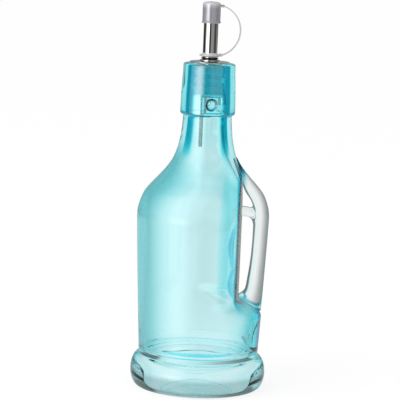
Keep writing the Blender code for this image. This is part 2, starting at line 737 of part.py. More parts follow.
def make_strap(collection, material, low, high):
    """Flat springy strap, an arc from the ring's lug out and up to the cap's lug."""
    start = LUG_REACH + SEAT_GAP
    half = (high - low) / 2
    sag = STRAP_REACH - STRAP_THICKNESS / 2 - start
    radius = (half * half + sag * sag) / (2 * sag)
    sweep = math.asin(half / radius)
    if sag > radius:
        sweep = math.pi - sweep
    centre = STRAP_REACH - STRAP_THICKNESS / 2 - radius
    curve = bpy.data.curves.new("cap_strap", "CURVE")
    curve.dimensions = "3D"
    curve.extrude = (STRAP_WIDTH - STRAP_THICKNESS) / 2
    curve.bevel_depth = STRAP_THICKNESS / 2
    curve.bevel_resolution = 1
    curve.use_fill_caps = True
    spline = curve.splines.new("POLY")
    count = 24
    spline.points.add(count)
    for i, point in enumerate(spline.points):
        turn = sweep * (2 * i / count - 1)
        point.co = (centre + radius * math.cos(turn), 0, low + half + radius * math.sin(turn), 1)
        point.tilt = math.pi / 2
    strap = new_object("cap_strap", curve, collection, None)
    strap = as_mesh(strap, "cap_strap", material)
    smooth(strap, 50)


def main():
    remove_all()
    cruet = new_collection("oil_cruet")
    helpers = new_collection("cutters", helpers=True)
    aqua_glass = new_material("aqua_glass", (0.36, 0.78, 0.82), 0.02, transmission=1.0)
    clear_glass = new_material("clear_glass", (0.86, 0.93, 0.92), 0.02, transmission=1.0)
    steel = new_material("polished_steel", (0.72, 0.71, 0.70), 0.12, metallic=1.0)
    stopper_plastic = new_material("stopper_plastic", (0.62, 0.65, 0.67), 0.35)
    cap_plastic = new_material("cap_plastic", (0.70, 0.69, 0.73), 0.25)

    make_bottle(cruet, helpers, aqua_glass)
    make_handle(cruet, helpers, clear_glass)
    plate_top = make_plate(cruet, steel)
    bead_top = make_tube(cruet, steel, plate_top)
    make_stopper(cruet, stopper_plastic)
    make_air_tube(cruet, steel)
    ring_lug = make_ring(cruet, helpers, cap_plastic, bead_top)
    cap_lug = make_cap(cruet, helpers, cap_plastic)
    make_strap(cruet, cap_plastic, ring_lug, cap_lug)


main()
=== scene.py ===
"""Looks for the oil cruet: an aqua glass bottle, a clear glass grip handle and a steel pourer.

Each piece is modelled again, smooth and in finer detail, in the place of its CAD node.
"""

import math

import bmesh
import bpy
from mathutils import Matrix, Vector

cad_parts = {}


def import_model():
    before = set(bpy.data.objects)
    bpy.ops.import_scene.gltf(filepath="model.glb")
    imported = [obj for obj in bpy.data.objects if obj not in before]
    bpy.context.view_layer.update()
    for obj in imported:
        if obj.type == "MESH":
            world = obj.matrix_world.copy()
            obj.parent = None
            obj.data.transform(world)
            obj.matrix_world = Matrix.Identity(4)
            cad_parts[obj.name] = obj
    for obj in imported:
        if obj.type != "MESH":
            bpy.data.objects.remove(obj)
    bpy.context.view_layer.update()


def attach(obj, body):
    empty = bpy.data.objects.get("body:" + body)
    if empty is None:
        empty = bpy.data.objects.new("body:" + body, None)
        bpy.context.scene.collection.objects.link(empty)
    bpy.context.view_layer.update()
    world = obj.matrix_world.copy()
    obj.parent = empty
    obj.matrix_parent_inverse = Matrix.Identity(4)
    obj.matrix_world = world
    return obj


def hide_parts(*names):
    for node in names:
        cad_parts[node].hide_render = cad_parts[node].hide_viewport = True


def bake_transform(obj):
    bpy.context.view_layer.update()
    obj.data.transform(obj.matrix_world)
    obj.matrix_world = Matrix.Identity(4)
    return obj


MM = 0.001

# Camera: the photograph's viewing angle
CAMERA_TURN = math.radians(8.6)
CAMERA_PITCH = math.radians(7.79)
CAMERA_ROLL = math.radians(2.3)
CAMERA_DISTANCE = 1.224
CAMERA_ASIDE = -0.00247
CAMERA_HEIGHT = 0.282
CAMERA_LENS = 182.9

# Bottle: foot, the hollow under it, and the small flutes round it
FOOT_RADIUS = 41.2 * MM
FOOT_HEIGHT = 19.8 * MM
STANDING_RADIUS = 36.2 * MM
STANDING_WIDTH = 3.4 * MM
PUNT_DEPTH = 6.0 * MM
FLUTE_HEIGHT = 1.5 * MM
FLUTE_DEPTH = 0.35 * MM

# Bottle: wall, shoulder, neck and collar
WALL_FOOT_RADIUS = 36.4 * MM
SHOULDER_RADIUS = 40.4 * MM
SHOULDER_HEIGHT = 104.0 * MM
BOTTLE_HEIGHT = 198.0 * MM
COLLAR_RADIUS = 16.6 * MM
COLLAR_TOP_RADIUS = 15.7 * MM
COLLAR_LENGTH = 31.0 * MM
COLLAR_FOOT = BOTTLE_HEIGHT - COLLAR_LENGTH
COLLAR_FOOT_ROUND = 1.2 * MM
NECK_RADIUS = 14.8 * MM
NECK_HEIGHT = 165.0 * MM
RIM_ROUND = 1.3 * MM
LIP_ROUND = 0.9 * MM

# Bottle: cavity
WALL_THICKNESS = 3.2 * MM
FLOOR_HEIGHT = 21.5 * MM
FLOOR_CROWN = 1.2 * MM
FLOOR_CORNER = 6.0 * MM
FLOOR_RING = 28.4 * MM
MOUTH_BORE_RADIUS = 9.6 * MM
BORE_SWELL_RADIUS = 11.2 * MM
NECK_BORE_RADIUS = 10.4 * MM
SHOULDER_DROP = 2.4 * MM
CAVITY_SHOULDER = SHOULDER_HEIGHT - SHOULDER_DROP

# Bottle: grip panel, ledge, finger hollows and the fold of thick glass below the ledge
PANEL_REACH = 22.9 * MM
PANEL_WALL = 3.5 * MM
PANEL_WALL_SEEN = 2.2 * MM
PANEL_BLEND = 9.0 * MM
LEDGE_TOP_HEIGHT = 55.4 * MM
LEDGE_FOOT_HEIGHT = 48.1 * MM
LEDGE_FILLET = 4.0 * MM
LEDGE_ROUND = 8.0 * MM
LEDGE_END = LEDGE_FOOT_HEIGHT - 4 * MM
UPPER_HOLLOW_HEIGHT = 85.0 * MM
UPPER_HOLLOW_LENGTH = 36.0 * MM
UPPER_HOLLOW_DEPTH = 3.9 * MM
LOWER_HOLLOW_HEIGHT = 62.0 * MM
LOWER_HOLLOW_LENGTH = 30.0 * MM
LOWER_HOLLOW_DEPTH = 2.1 * MM
HOLLOW_WIDTH = 26.0 * MM
UPPER_HOLLOW_SEEN = 4.4 * MM
LOWER_HOLLOW_SEEN = 4.0 * MM
FOLD_DEPTH = 4.2 * MM
FOLD_HEIGHT = 31.0 * MM
FOLD_LENGTH = 32.0 * MM
FOLD_WIDTH = 44.0 * MM

# Bottle: dimples for a wire bail, each in a shallow flat pocket
DIMPLE_HEIGHT = 173.8 * MM
DIMPLE_RADIUS = 3.9 * MM
DIMPLE_DEPTH = 3.0 * MM
DIMPLE_STEEPNESS = 4
POCKET_WIDTH = 12.4 * MM
POCKET_TALL = 10.2 * MM
POCKET_FACE = 14.8 * MM

# Handle
HANDLE_TAIL_HEIGHT = 142.0 * MM
HANDLE_WIDTH = 13.0 * MM
HANDLE_SQUARENESS = 2.5
HANDLE_LAP = 4.4 * MM
BRIDGE_HEIGHT = 108.6 * MM
BRIDGE_DEPTH = 6.6 * MM
BRIDGE_WIDTH = 9.0 * MM
BRIDGE_FALL = 2.6 * MM
BRIDGE_OUT_SHARE = 0.475
LOOP_CORNER = 5.6 * MM
JOIN_GAP = 0.06 * MM

# Pourer
TUBE_RADIUS = 4.4 * MM
TUBE_WALL = 0.4 * MM
TUBE_TOP = 233.5 * MM
TUBE_FOOT = 186.0 * MM
TIGHT_FIT = 0.05 * MM
LOOSE_FIT = 0.1 * MM
BEAD_RADIUS = 5.1 * MM
BEAD_LOW = 200.4 * MM
BEAD_HEIGHT = 1.1 * MM
PLATE_RADIUS = 12.1 * MM
PLATE_LOW = 198.3 * MM
PLATE_THICKNESS = 0.7 * MM
PLATE_DOME = 0.5 * MM
PLATE_ROUND = 0.35 * MM
HUB_RADIUS = 6.1 * MM
HUB_HEIGHT = 0.6 * MM
STOPPER_CORE_RADIUS = 7.9 * MM
STOPPER_FOOT = 179.4 * MM
STOPPER_MOUTH_RADIUS = 6.3 * MM
STOPPER_MOUTH_DEPTH = 5.6 * MM
RIB_RADIUS = 9.35 * MM
RIB_COUNT = 4
RIB_PITCH = 4.9 * MM
RIB_THICKNESS = 0.8 * MM
RIB_SLOPE = 0.9 * MM
AIR_TUBE_RADIUS = 1.15 * MM
AIR_TUBE_BORE = 0.8 * MM
AIR_TUBE_TOP = 226.0 * MM
AIR_TUBE_FOOT = 147.0 * MM
AIR_TUBE_INSIDE = -2.55 * MM
AIR_TUBE_OUTSIDE = -3.7 * MM
AIR_TUBE_STEP_TOP = 185.7 * MM
AIR_TUBE_STEP_LENGTH = 5.15 * MM

# Tether ring, strap and dust cap
RING_RADIUS = 6.4 * MM
RING_ROUND = 0.5 * MM
RING_SLEEVE_RADIUS = 5.2 * MM
RING_LOW = 201.8 * MM
RING_TOP = 204.2 * MM
FLANGE_TOP = 203.2 * MM
CAP_RADIUS = 5.45 * MM
CAP_LIP_RADIUS = 5.8 * MM
CAP_LOW = 222.0 * MM
CAP_CROWN = 235.0 * MM
CAP_CEILING = 233.8 * MM
LUG_REACH = 7.6 * MM
LUG_WIDTH = 3.2 * MM
LUG_THICKNESS = 1.6 * MM
RING_LUG_HEIGHT = 203.0 * MM
CAP_LUG_HEIGHT = 232.4 * MM
STRAP_REACH = 18.4 * MM
STRAP_WIDTH = 2.6 * MM
STRAP_THICKNESS = 0.65 * MM

# Steps round the axis
BOTTLE_STEPS = 168
POURER_STEPS = 96

# Shoulder curve: share of the rise from shoulder to neck, share of the way in that is left
SHOULDER_SHARES = (
    (0.0, 1.0), (0.08, 0.985), (0.16, 0.935), (0.25, 0.84), (0.33, 0.69), (0.41, 0.515),
    (0.50, 0.335), (0.58, 0.21), (0.66, 0.13), (0.74, 0.075), (0.83, 0.033), (1.0, 0.0),
)

# The bore through neck and collar: height, radius
BORE_SHAPE = (
    (162.6 * MM, NECK_BORE_RADIUS), (168.0 * MM, 10.9 * MM), (174.5 * MM, BORE_SWELL_RADIUS),
    (180.0 * MM, 10.5 * MM), (184.5 * MM, MOUTH_BORE_RADIUS), (189.0 * MM, MOUTH_BORE_RADIUS),
)

# Handle stations, tail first: outer height share, inner height share, way out from the panel,
# share of the handle's width
HANDLE_STATION_SHARES = (
    (1.00, 0.985, -0.50, 0.30), (0.965, 0.930, -0.40, 0.46), (0.905, 0.872, -0.12, 0.62),
    (0.860, 0.815, 0.045, 0.76), (0.818, 0.760, 0.215, 0.86), (0.770, 0.718, 0.375, 0.93),
    (0.715, 0.678, 0.455, 0.98), (0.650, 0.632, 0.475, 1.00), (0.585, 0.580, 0.475, 1.00),
    (0.510, 0.510, 0.475, 1.00), (0.445, 0.445, 0.475, 1.00), (0.360, 0.358, 0.460, 1.00),
    (0.280, 0.276, 0.425, 1.02), (0.200, 0.197, 0.370, 1.06), (0.125, 0.128, 0.310, 1.12),
    (0.075, 0.106, 0.200, 1.18), (0.035, 0.090, 0.060, 1.24), (-0.015, 0.050, -0.080, 1.30),
)

# What polished surfaces see level with the bottle: degrees to the right of straight ahead, light
GLOSS_SECTORS = (
    (-180, 0.03), (-166, 0.03), (-161, 0.6), (-154, 1.9), (-146, 3.0), (-134, 3.4), (-125, 2.4),
    (-116, 1.3), (-108, 0.7), (-98, 0.5), (-92, 0.03), (-43, 0.03), (-36, 0.3), (40, 0.3),
    (52, 0.07), (118, 0.07), (124, 0.3), (150, 0.28), (162, 0.36), (171, 0.3), (176, 0.03),
    (180, 0.03),
)
# What is seen through the hollow neck and collar: white panels, and a dark flag on the right
NECK_SECTORS = (
    (-180, 0.95), (-166, 0.85), (-144, 1.0), (-121, 0.85), (-99, 1.0), (-76, 0.85), (-54, 1.0),
    (-40, 0.85), (-25, 0.85), (-10, 0.95), (-2.8, 1.0), (-1.6, 0.97), (-0.8, 0.9), (-0.1, 0.84),
    (1.0, 0.84), (3.5, 0.9), (10, 0.95), (18, 0.9), (24, 0.38), (46, 0.33), (54, 0.8), (81, 1.0),
    (104, 0.85), (126, 1.0), (149, 0.85), (171, 1.0), (180, 0.95),
)
# What is seen through the hollow body: white, and a soft grey middle
BODY_SECTORS = (
    (-180, 0.95), (-144, 1.0), (-121, 0.85), (-99, 1.0), (-76, 0.85), (-54, 1.0), (-40, 0.85),
    (-25, 0.85), (-14, 0.93), (-6, 0.98), (-2.8, 1.0), (-1.6, 0.97), (-0.8, 0.87), (-0.1, 0.79),
    (1.0, 0.8), (3.5, 0.88), (8, 0.95), (54, 0.95), (81, 1.0), (104, 0.85), (126, 1.0), (149, 0.85),
    (171, 1.0), (180, 0.95),
)
# What is seen through solid glass alone, such as the handle and every edge: dark gaps as well
SOLID_SECTORS = (
    (-180, 0.8), (-166, 0.6), (-144, 1.0), (-121, 0.6), (-99, 1.0), (-75, 1.0), (-58, 1.0),
    (-51, 0.9), (-45, 0.22), (-30, 0.28), (-19, 0.42), (-10, 0.6), (-3, 0.78), (3, 0.9), (20, 0.92),
    (25, 0.85), (30, 0.18), (60, 0.18), (66, 0.7), (75, 0.95), (104, 0.6), (126, 1.0), (149, 0.6),
    (171, 1.0), (180, 0.8),
)

# Soft box, the matt surfaces' share of light, the lamp and the floor
SOFT_BOX_LIGHT = 3.4
SOFT_BOX_TURN = math.radians(-126) + CAMERA_TURN
SIDE_LIGHT = 0.28
ROUND_LIGHT = 0.8
LAMP_SIZE = 1.2
LAMP_POWER = 9.0
LAMP_DISTANCE = 1.3
LAMP_HEIGHT = 0.9
BOTTLE_MIDDLE = 0.12
FLOOR_GLOW = 0.86

# Ranges over which one light gives way to the next: by a ray's rise, and for the grey cloud's two
# sides by its share of the turn
GLOSS_LEVEL = (-0.130, -0.105)
GLOSS_UPPER = (0.05, 0.16)
NECK_LIGHT = (-0.155, -0.105)
CLOUD_START = (-0.155, -0.138)
CLOUD_END = (-0.118, -0.1)
CLOUD_LEFT = (0.495, 0.501)
CLOUD_RIGHT = (0.52, 0.54)
FOOT_LIGHT = (-0.225, -0.165)
OVERHEAD = (0.5, 0.68)

# Aqua tint: what one coat lets through, there and back, how thick the coat lies in each place,
# how much more of it shows where the glass is seen aslant, and along the edge of a thick bore
AQUA_COAT = (0.58, 0.955, 0.985)
FOOT_COAT = 0.3
WALL_COAT = 0.85
NECK_COAT = 1.1
COLLAR_COAT = 2.0
PANEL_COAT = 1.2
HOLLOW_COAT = 5.0
HOLLOW_EDGE_COAT = 10.0
BORE_COAT = 6.5
FLOOR_EDGE_COAT = 3.5
WALL_EDGE_COAT = 2.2
SHOULDER_EDGE_COAT = 3.2
PANEL_EDGE_COAT = 6.0
PANEL_CORNER_COAT = 9.0
FOOT_RIM_COAT = 5.0
WALL_RIM_COAT = 2.0
PANEL_RIM_COAT = 30.0
LEDGE_RIM_COAT = 24.0
DIMPLE_COAT = 16.0
POCKET_EDGE_COAT = 8.0
LENS_COAT = 8.0
NECK_LINE_COAT = 18.0
COLLAR_LINE_COAT = 18.0
COLLAR_FOOT_COAT = 14.0

# Shade over the tint: where aslant, at the collar's foot, along with the rim and the line, where
# the coat is deep, near the table and in the panel's corners
WALL_EDGE_SHADE = 0.48
COLLAR_FOOT_SHADE = 0.6
RIM_SHADE = 0.032
LINE_SHADE = 0.034
DEEP_SHADE = 0.85
BASE_DIM = 0.55
STANDING_DIM = 0.25
PANEL_EDGE_DIM = 0.62

# Ranges over which one coat gives way to the next. FRONT runs along X, ASIDE along Y and LENS
# out from the axis, all the others are heights
BORE_START = (178 * MM, 180 * MM)
BORE_END = (194 * MM, 197 * MM)
SHOULDER_START = (104 * MM, 124 * MM)
SHOULDER_END = (138 * MM, 150 * MM)
NECK_START = (140 * MM, 155 * MM)
COLLAR_START = (COLLAR_FOOT - 2 * MM, COLLAR_FOOT + 2 * MM)
HOLLOW_FRONT = (6 * MM, 12 * MM)
RECESS_FRONT = (18.5 * MM, 21.5 * MM)
RECESS_START = (50 * MM, 58 * MM)
RECESS_END = (120 * MM, 150 * MM)
CORNER_ASIDE = (14 * MM, 20 * MM)
CALM_FRONT = (6 * MM, 14 * MM)
CALM_END = (148 * MM, 158 * MM)
UNDER_LEDGE_FRONT = (26 * MM, 34 * MM)
UNDER_LEDGE_START = (FOOT_HEIGHT, 26 * MM)
UNDER_LEDGE_END = (44 * MM, 54 * MM)
BASE_END = (9 * MM, 13 * MM)
LENS_END = (22 * MM, 27 * MM)

# Ranges of the turn away from the eye, 0 face on and 1 edge on, over which the coats show
ASLANT = (0.08, 0.5)
EDGE_ON = (0.7, 0.95)
NEAR_LINE = (0.1, 0.2)
ON_LINE = (0.14, 0.24)
PAST_LINE = (0.36, 0.44)
RIM_SEEN = (0.62, 0.82)
GLOSS_SEEN = (0.4, 0.55)

COAT_LAYERS = ("coat", "edge_coat", "line_coat", "edge_shade", "rim_coat", "dim")

# Steel, and the painted shade in the seam between the plate's hub and the bead
STEEL_COLOUR = (0.80, 0.78, 0.76, 1.0)
# A darker copy of the steel, as painted shade on the thin air tube
AIR_TUBE_SHADED_COLOUR = (0.40, 0.39, 0.38, 1.0)
SEAM_SHADE_COLOUR = (0.05, 0.047, 0.04, 1.0)
SEAM_LOW = 200.05 * MM
SEAM_TOP = 201.2 * MM

# Plug, then cap, ring and strap: milky plastic alone, and painted shade from the steel tube behind
# it
PLUG_COLOUR = (0.86, 0.89, 0.91, 1.0)
CAP_COLOUR = (0.58, 0.57, 0.59, 1.0)
CAP_TUBE_SHADE = (0.27, 0.265, 0.30, 1.0)

# Handle: aqua that shows through its ends, where it was joined hot to the bottle, its greener edges
# and painted shade along its rim
JOIN_TINT = (0.03, 0.42, 0.52, 1.0)
JOIN_DEEP = (0.0, 0.03, 0.06, 1.0)
JOIN_TINT_REACH = 4.0 * MM
HANDLE_EDGE_TINT = (0.84, 0.99, 0.97, 1.0)
HANDLE_RIM_PAINTED_SHADE = (0.2, 0.27, 0.28, 1.0)

# Faint tint all through the glass, and how dense it is
BOTTLE_TINT = (0.0, 0.84, 0.9, 1.0)
BOTTLE_DENSITY = 3.0
BAR_TINT = (0.3, 0.75, 0.75, 1.0)
BAR_DENSITY = 6.0

# Waves of the surface, and its roughness where clean and where smeared by hands
BOTTLE_WAVE = {"Scale": 34.0, "Strength": 1.0, "Depth": 0.0003}
BAR_WAVE = {"Scale": 70.0, "Strength": 1.0, "Depth": 0.0002}
STEEL_WAVE = {"Scale": 220.0, "Strength": 0.3, "Depth": 0.00003}
PLASTIC_WAVE = {"Scale": 500.0, "Strength": 0.4, "Depth": 0.00005}
STEEL_SMEARS = {"Clean": 0.03, "Smeared": 0.08, "Scale": 260.0}
PLUG_SMEARS = {"Clean": 0.3, "Smeared": 0.45, "Scale": 400.0}
CAP_SMEARS = {"Clean": 0.2, "Smeared": 0.32, "Scale": 400.0}


def through(points, t):
    """Smooth curve through (t, value) pairs, by cubic pieces with averaged slopes."""
    last = len(points) - 1
    slopes = []
    for i in range(last + 1):
        before = points[max(i - 1, 0)]
        after = points[min(i + 1, last)]
        slopes.append((after[1] - before[1]) / (after[0] - before[0]))
    slopes[0] = 0.0
    slopes[last] = 0.0
    i = 0
    while i < last - 1 and t > points[i + 1][0]:
        i += 1
    span = points[i + 1][0] - points[i][0]
    u = min(max((t - points[i][0]) / span, 0.0), 1.0)
    start = (2 * u**3 - 3 * u**2 + 1) * points[i][1] + (u**3 - 2 * u**2 + u) * span * slopes[i]
    end = (3 * u**2 - 2 * u**3) * points[i + 1][1] + (u**3 - u**2) * span * slopes[i + 1]
    return start + end


def soft_min(a, b, blend):
    overlap = max(blend - abs(a - b), 0.0) / blend
    return min(a, b) - overlap * overlap * blend / 4


def soft_max(a, b, blend):
    return -soft_min(-a, -b, blend)


def power(value, exponent):
    """A power that keeps the value's sign."""
    return math.copysign(abs(value) ** exponent, value)


def bump(distance, half_length):
    """One in the middle, falling smoothly to zero half a length away."""
    if abs(distance) >= half_length:
        return 0.0
    return math.cos(math.pi / 2 * distance / half_length) ** 2


def ease(value, low, high):
    """Zero below low, one above high, smooth between."""
    share = min(max((value - low) / (high - low), 0.0), 1.0)
    return share * share * (3 - 2 * share)


def within(value, start, end):
    """One between two ranges, smooth across both."""
    return ease(value, *start) * (1 - ease(value, *end))


def arc(centre, radii, start, end, count):
    """Points (radius, height) on an ellipse quarter or more, from start to end in degrees."""
    points = []
    for i in range(count + 1):
        turn = math.radians(start + (end - start) * i / count)
        across = centre[0] + radii[0] * math.cos(turn)
        points.append((across, centre[1] + radii[1] * math.sin(turn)))
    return points


def rows(start, end, step):
    """Evenly spaced heights, both ends included."""
    count = max(1, round(abs(end - start) / step))
    return [start + (end - start) * i / count for i in range(count + 1)]


def outline_radius(height):
    """Outer radius of the bottle between foot and collar."""
    if height <= SHOULDER_HEIGHT:
        share = max((height - FOOT_HEIGHT) / (SHOULDER_HEIGHT - FOOT_HEIGHT), 0.0)
        rise = 1 - (1 - share) ** 1.15
        return WALL_FOOT_RADIUS + (SHOULDER_RADIUS - WALL_FOOT_RADIUS) * rise
    share = (height - SHOULDER_HEIGHT) / (NECK_HEIGHT - SHOULDER_HEIGHT)
    left = through(SHOULDER_SHARES, min(share, 1.0))
    return NECK_RADIUS + (SHOULDER_RADIUS - NECK_RADIUS) * left


def cavity_radius(height):
    """Inner radius of the bottle between floor and neck."""
    if height <= CAVITY_SHOULDER:
        return outline_radius(height) - WALL_THICKNESS
    share = (height - CAVITY_SHOULDER) / (NECK_HEIGHT - SHOULDER_HEIGHT)
    left = through(SHOULDER_SHARES, min(share, 1.0))
    widest = outline_radius(CAVITY_SHOULDER) - WALL_THICKNESS
    return NECK_BORE_RADIUS + (widest - NECK_BORE_RADIUS) * left


def panel_reach(height, radius, grow):
    """How far the surface reaches towards +X behind the handle. Grow moves it outwards."""
    run = (outline_radius(LEDGE_FOOT_HEIGHT) - PANEL_REACH) / (LEDGE_TOP_HEIGHT - LEDGE_FOOT_HEIGHT)
    ledge = PANEL_REACH + (LEDGE_TOP_HEIGHT - height) * run + grow * math.hypot(1.0, run)
    inner = soft_max(PANEL_REACH + grow, ledge, LEDGE_FILLET)
    blend = PANEL_BLEND if height > UPPER_HOLLOW_HEIGHT else LEDGE_ROUND
    return soft_min(radius, inner, blend)


def hollow_depth(across, height):
    """Depth of the two finger hollows below the panel."""
    upper = UPPER_HOLLOW_DEPTH * bump(height - UPPER_HOLLOW_HEIGHT, UPPER_HOLLOW_LENGTH / 2)
    lower = LOWER_HOLLOW_DEPTH * bump(height - LOWER_HOLLOW_HEIGHT, LOWER_HOLLOW_LENGTH / 2)
    return (upper + lower) * bump(across, HOLLOW_WIDTH / 2)


def inner_hollow(across, height):
    """The finger hollows as they show inside, where their edges are softer and run together."""
    upper = UPPER_HOLLOW_SEEN * bump(height - UPPER_HOLLOW_HEIGHT, 21 * MM)
    lower = LOWER_HOLLOW_SEEN * bump(height - LOWER_HOLLOW_HEIGHT - 1 * MM, 15 * MM)
    return soft_max(upper, lower, 1.0 * MM) * bump(across, HOLLOW_WIDTH / 2)


def pressed(point, radius, grow):
    """Where a point of the round wall lies once the panel is pressed in behind the handle."""
    own = math.hypot(point.x, point.y)
    reach = panel_reach(point.z, radius, grow)
    oval = 1 / math.hypot(point.x / own / reach, point.y / own / radius)
    across = oval * point.y / own
    hollow = inner_hollow(across, point.z) if grow < 0 else hollow_depth(across, point.z)
    return Vector((oval * point.x / own - hollow, across, point.z))


def turned(profile, steps):
    """Spin a profile of (radius, height) pairs about Z into a closed bmesh."""
    work = bmesh.new()
    points = [work.verts.new((r, 0, z)) for r, z in profile]
    lines = [work.edges.new(pair) for pair in zip(points, points[1:])]
    if profile[0][0] > 0:
        lines.append(work.edges.new((points[-1], points[0])))
    bmesh.ops.spin(
        work,
        geom=points + lines,
        cent=(0, 0, 0),
        axis=(0, 0, 1),
        dvec=(0, 0, 0),
        angle=2 * math.pi,
        steps=steps,
        use_merge=True,
        use_duplicate=False,
    )
    bmesh.ops.remove_doubles(work, verts=work.verts, dist=MM / 10000)
    bmesh.ops.recalc_face_normals(work, faces=work.faces)
    return work


def close_ends(work):
    """Fill the open ends of a swept or spun form."""
    ends = [line for line in work.edges if line.is_boundary]
    bmesh.ops.holes_fill(work, edges=ends, sides=0)
    bmesh.ops.recalc_face_normals(work, faces=work.faces)


def swept(rings):
    """Extrude a circle of points through rings that all hold the same count, and close its ends."""
    work = bmesh.new()
    count = len(rings[0])
    place = work.verts.layers.int.new("place")
    made = bmesh.ops.create_circle(work, segments=count, radius=1.0)
    for i, point in enumerate(made["verts"]):
        point[place] = i
        point.co = rings[0][i]
    front = list(work.edges)
    for ring in rings[1:]:
        made = bmesh.ops.extrude_edge_only(work, edges=front)
        for item in made["geom"]:
            if isinstance(item, bmesh.types.BMVert):
                item.co = ring[item[place]]
        front = [item for item in made["geom"] if isinstance(item, bmesh.types.BMEdge)]
    close_ends(work)
    return work


def placed(name, data):
    """A new object in the scene."""
    made = bpy.data.objects.new(name, data)
    bpy.context.scene.collection.objects.link(made)
    return made


def smoothed(mesh, degrees):
    """Smooth a mesh but for its sharp edges."""
    mesh.shade_smooth()
    mesh.set_sharp_from_angle(angle=math.radians(degrees))


def finish_piece(work, name, material, degrees=40):
    """Make an object of a bmesh."""
    mesh = bpy.data.meshes.new(name)
    work.to_mesh(mesh)
    work.free()
    mesh.materials.append(material)
    smoothed(mesh, degrees)
    return placed(name, mesh)


def applied(piece, name):
    """Keep a piece's modifiers in its mesh."""
    piece.name = name + "_blank"
    graph = bpy.context.evaluated_depsgraph_get()
    mesh = bpy.data.meshes.new_from_object(piece.evaluated_get(graph))
    mesh.name = name
    bpy.data.objects.remove(piece)
    return placed(name, mesh)


def combine(piece, other, operation):
    """Join another solid to a piece, or cut it away."""
    name = piece.name
    cut = piece.modifiers.new(operation.lower(), "BOOLEAN")
    cut.operation = operation
    cut.solver = "EXACT"
    cut.object = other
    bpy.context.view_layer.update()
    made = applied(piece, name)
    bpy.data.objects.remove(other)
    return made


def dress(piece, body, node):
    """The piece rides on a body and stands for a CAD node."""
    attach(piece, body)
    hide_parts(node)


def outer_profile():
    """Outer side from the rim down to the standing ring."""
    high = BOTTLE_HEIGHT - RIM_ROUND
    low = COLLAR_FOOT + COLLAR_FOOT_ROUND
    rim = arc((COLLAR_TOP_RADIUS - RIM_ROUND, high), (RIM_ROUND, RIM_ROUND), 90, 0, 8)
    side = []
    shares = ((0.0, 0.0), (0.5, 0.62), (0.9, 1.0), (1.0, 1.0))
    for z in rows(high, low, 0.5 * MM)[1:]:
        grown = through(shares, (high - z) / (high - low))
        side.append((COLLAR_TOP_RADIUS + (COLLAR_RADIUS - COLLAR_TOP_RADIUS) * grown, z))
    corner = (COLLAR_RADIUS - COLLAR_FOOT_ROUND, low)
    turn_in = arc(corner, (COLLAR_FOOT_ROUND, COLLAR_FOOT_ROUND), 0, -80, 7)[1:]
    root = [(NECK_RADIUS + 0.25 * MM, COLLAR_FOOT - 0.15 * MM)]
    root += [(NECK_RADIUS, COLLAR_FOOT - 0.7 * MM)]
    heights = rows(NECK_HEIGHT, SHOULDER_HEIGHT, 1.1 * MM)
    heights += rows(SHOULDER_HEIGHT, LEDGE_TOP_HEIGHT, 1.2 * MM)[1:]
    heights += rows(LEDGE_TOP_HEIGHT, LEDGE_END, 0.5 * MM)[1:]
    heights += rows(LEDGE_END, FOOT_HEIGHT + 0.3 * MM, 1.6 * MM)[1:]
    wall = [(outline_radius(z), z) for z in heights]
    middle = FOOT_HEIGHT / 2
    swell = (FOOT_RADIUS - WALL_FOOT_RADIUS, middle)
    tuck = (FOOT_RADIUS - STANDING_RADIUS, middle)
    upper = arc((WALL_FOOT_RADIUS, middle), swell, 84, 0, 22)
    under = arc((STANDING_RADIUS, middle), tuck, 0, -90, 22)[1:]
    return rim + side + turn_in + root + wall + upper + under


def base_profile():
    """Underside, from the inner edge of the standing ring to the axis."""
    edge = STANDING_RADIUS - STANDING_WIDTH
    flat = [(r, 0.0) for r in rows(STANDING_RADIUS, edge, 0.6 * MM)[1:]]
    count = 22
    punt = []
    for i in range(1, count + 1):
        share = 1 - i / count
        depth = PUNT_DEPTH * (1 - share**2) ** 0.8
        punt.append((edge * share, depth))
    return flat + punt


def inner_profile():
    """Cavity side, from the middle of the floor up to the mouth."""
    corner_radius = cavity_radius(FLOOR_HEIGHT + FLOOR_CORNER) - FLOOR_CORNER
    floor = []
    for i in range(18):
        share = i / 18
        height = FLOOR_HEIGHT + FLOOR_CROWN * (1 - share**2)
        floor.append((corner_radius * share, height))
    start = FLOOR_HEIGHT + FLOOR_CORNER
    corner = arc((corner_radius, start), (FLOOR_CORNER, FLOOR_CORNER), -90, 0, 24)
    low = LEDGE_FOOT_HEIGHT - PANEL_WALL - 3 * MM
    high = LEDGE_TOP_HEIGHT - PANEL_WALL
    heights = rows(start, low, 1.3 * MM)[1:]
    heights += rows(low, high, 0.5 * MM)[1:]
    heights += rows(high, CAVITY_SHOULDER, 1.2 * MM)[1:]
    heights += rows(CAVITY_SHOULDER, NECK_HEIGHT - SHOULDER_DROP, 1.1 * MM)[1:]
    wall = [(cavity_radius(z), z) for z in heights]
    mouth = BORE_SHAPE[-1][0]
    rim = BOTTLE_HEIGHT - LIP_ROUND
    heights = rows(BORE_SHAPE[0][0], mouth, 0.8 * MM)[1:]
    bore = [(through(BORE_SHAPE, z), z) for z in heights]
    bore += [(MOUTH_BORE_RADIUS, z) for z in rows(mouth, rim, 1.2 * MM)[1:]]
    lip = arc((MOUTH_BORE_RADIUS + LIP_ROUND, rim), (LIP_ROUND, LIP_ROUND), 180, 90, 6)
    return floor + corner + wall + bore + lip[1:]


def from_dimple(point):
    """How far outside the pocket's edge a point lies, and how many dimple radii from its middle."""
    rise = point.z - DIMPLE_HEIGHT
    off = max(abs(point.x) - POCKET_WIDTH / 2, abs(rise) - POCKET_TALL / 2)
    return off, math.hypot(point.x, rise) / DIMPLE_RADIUS


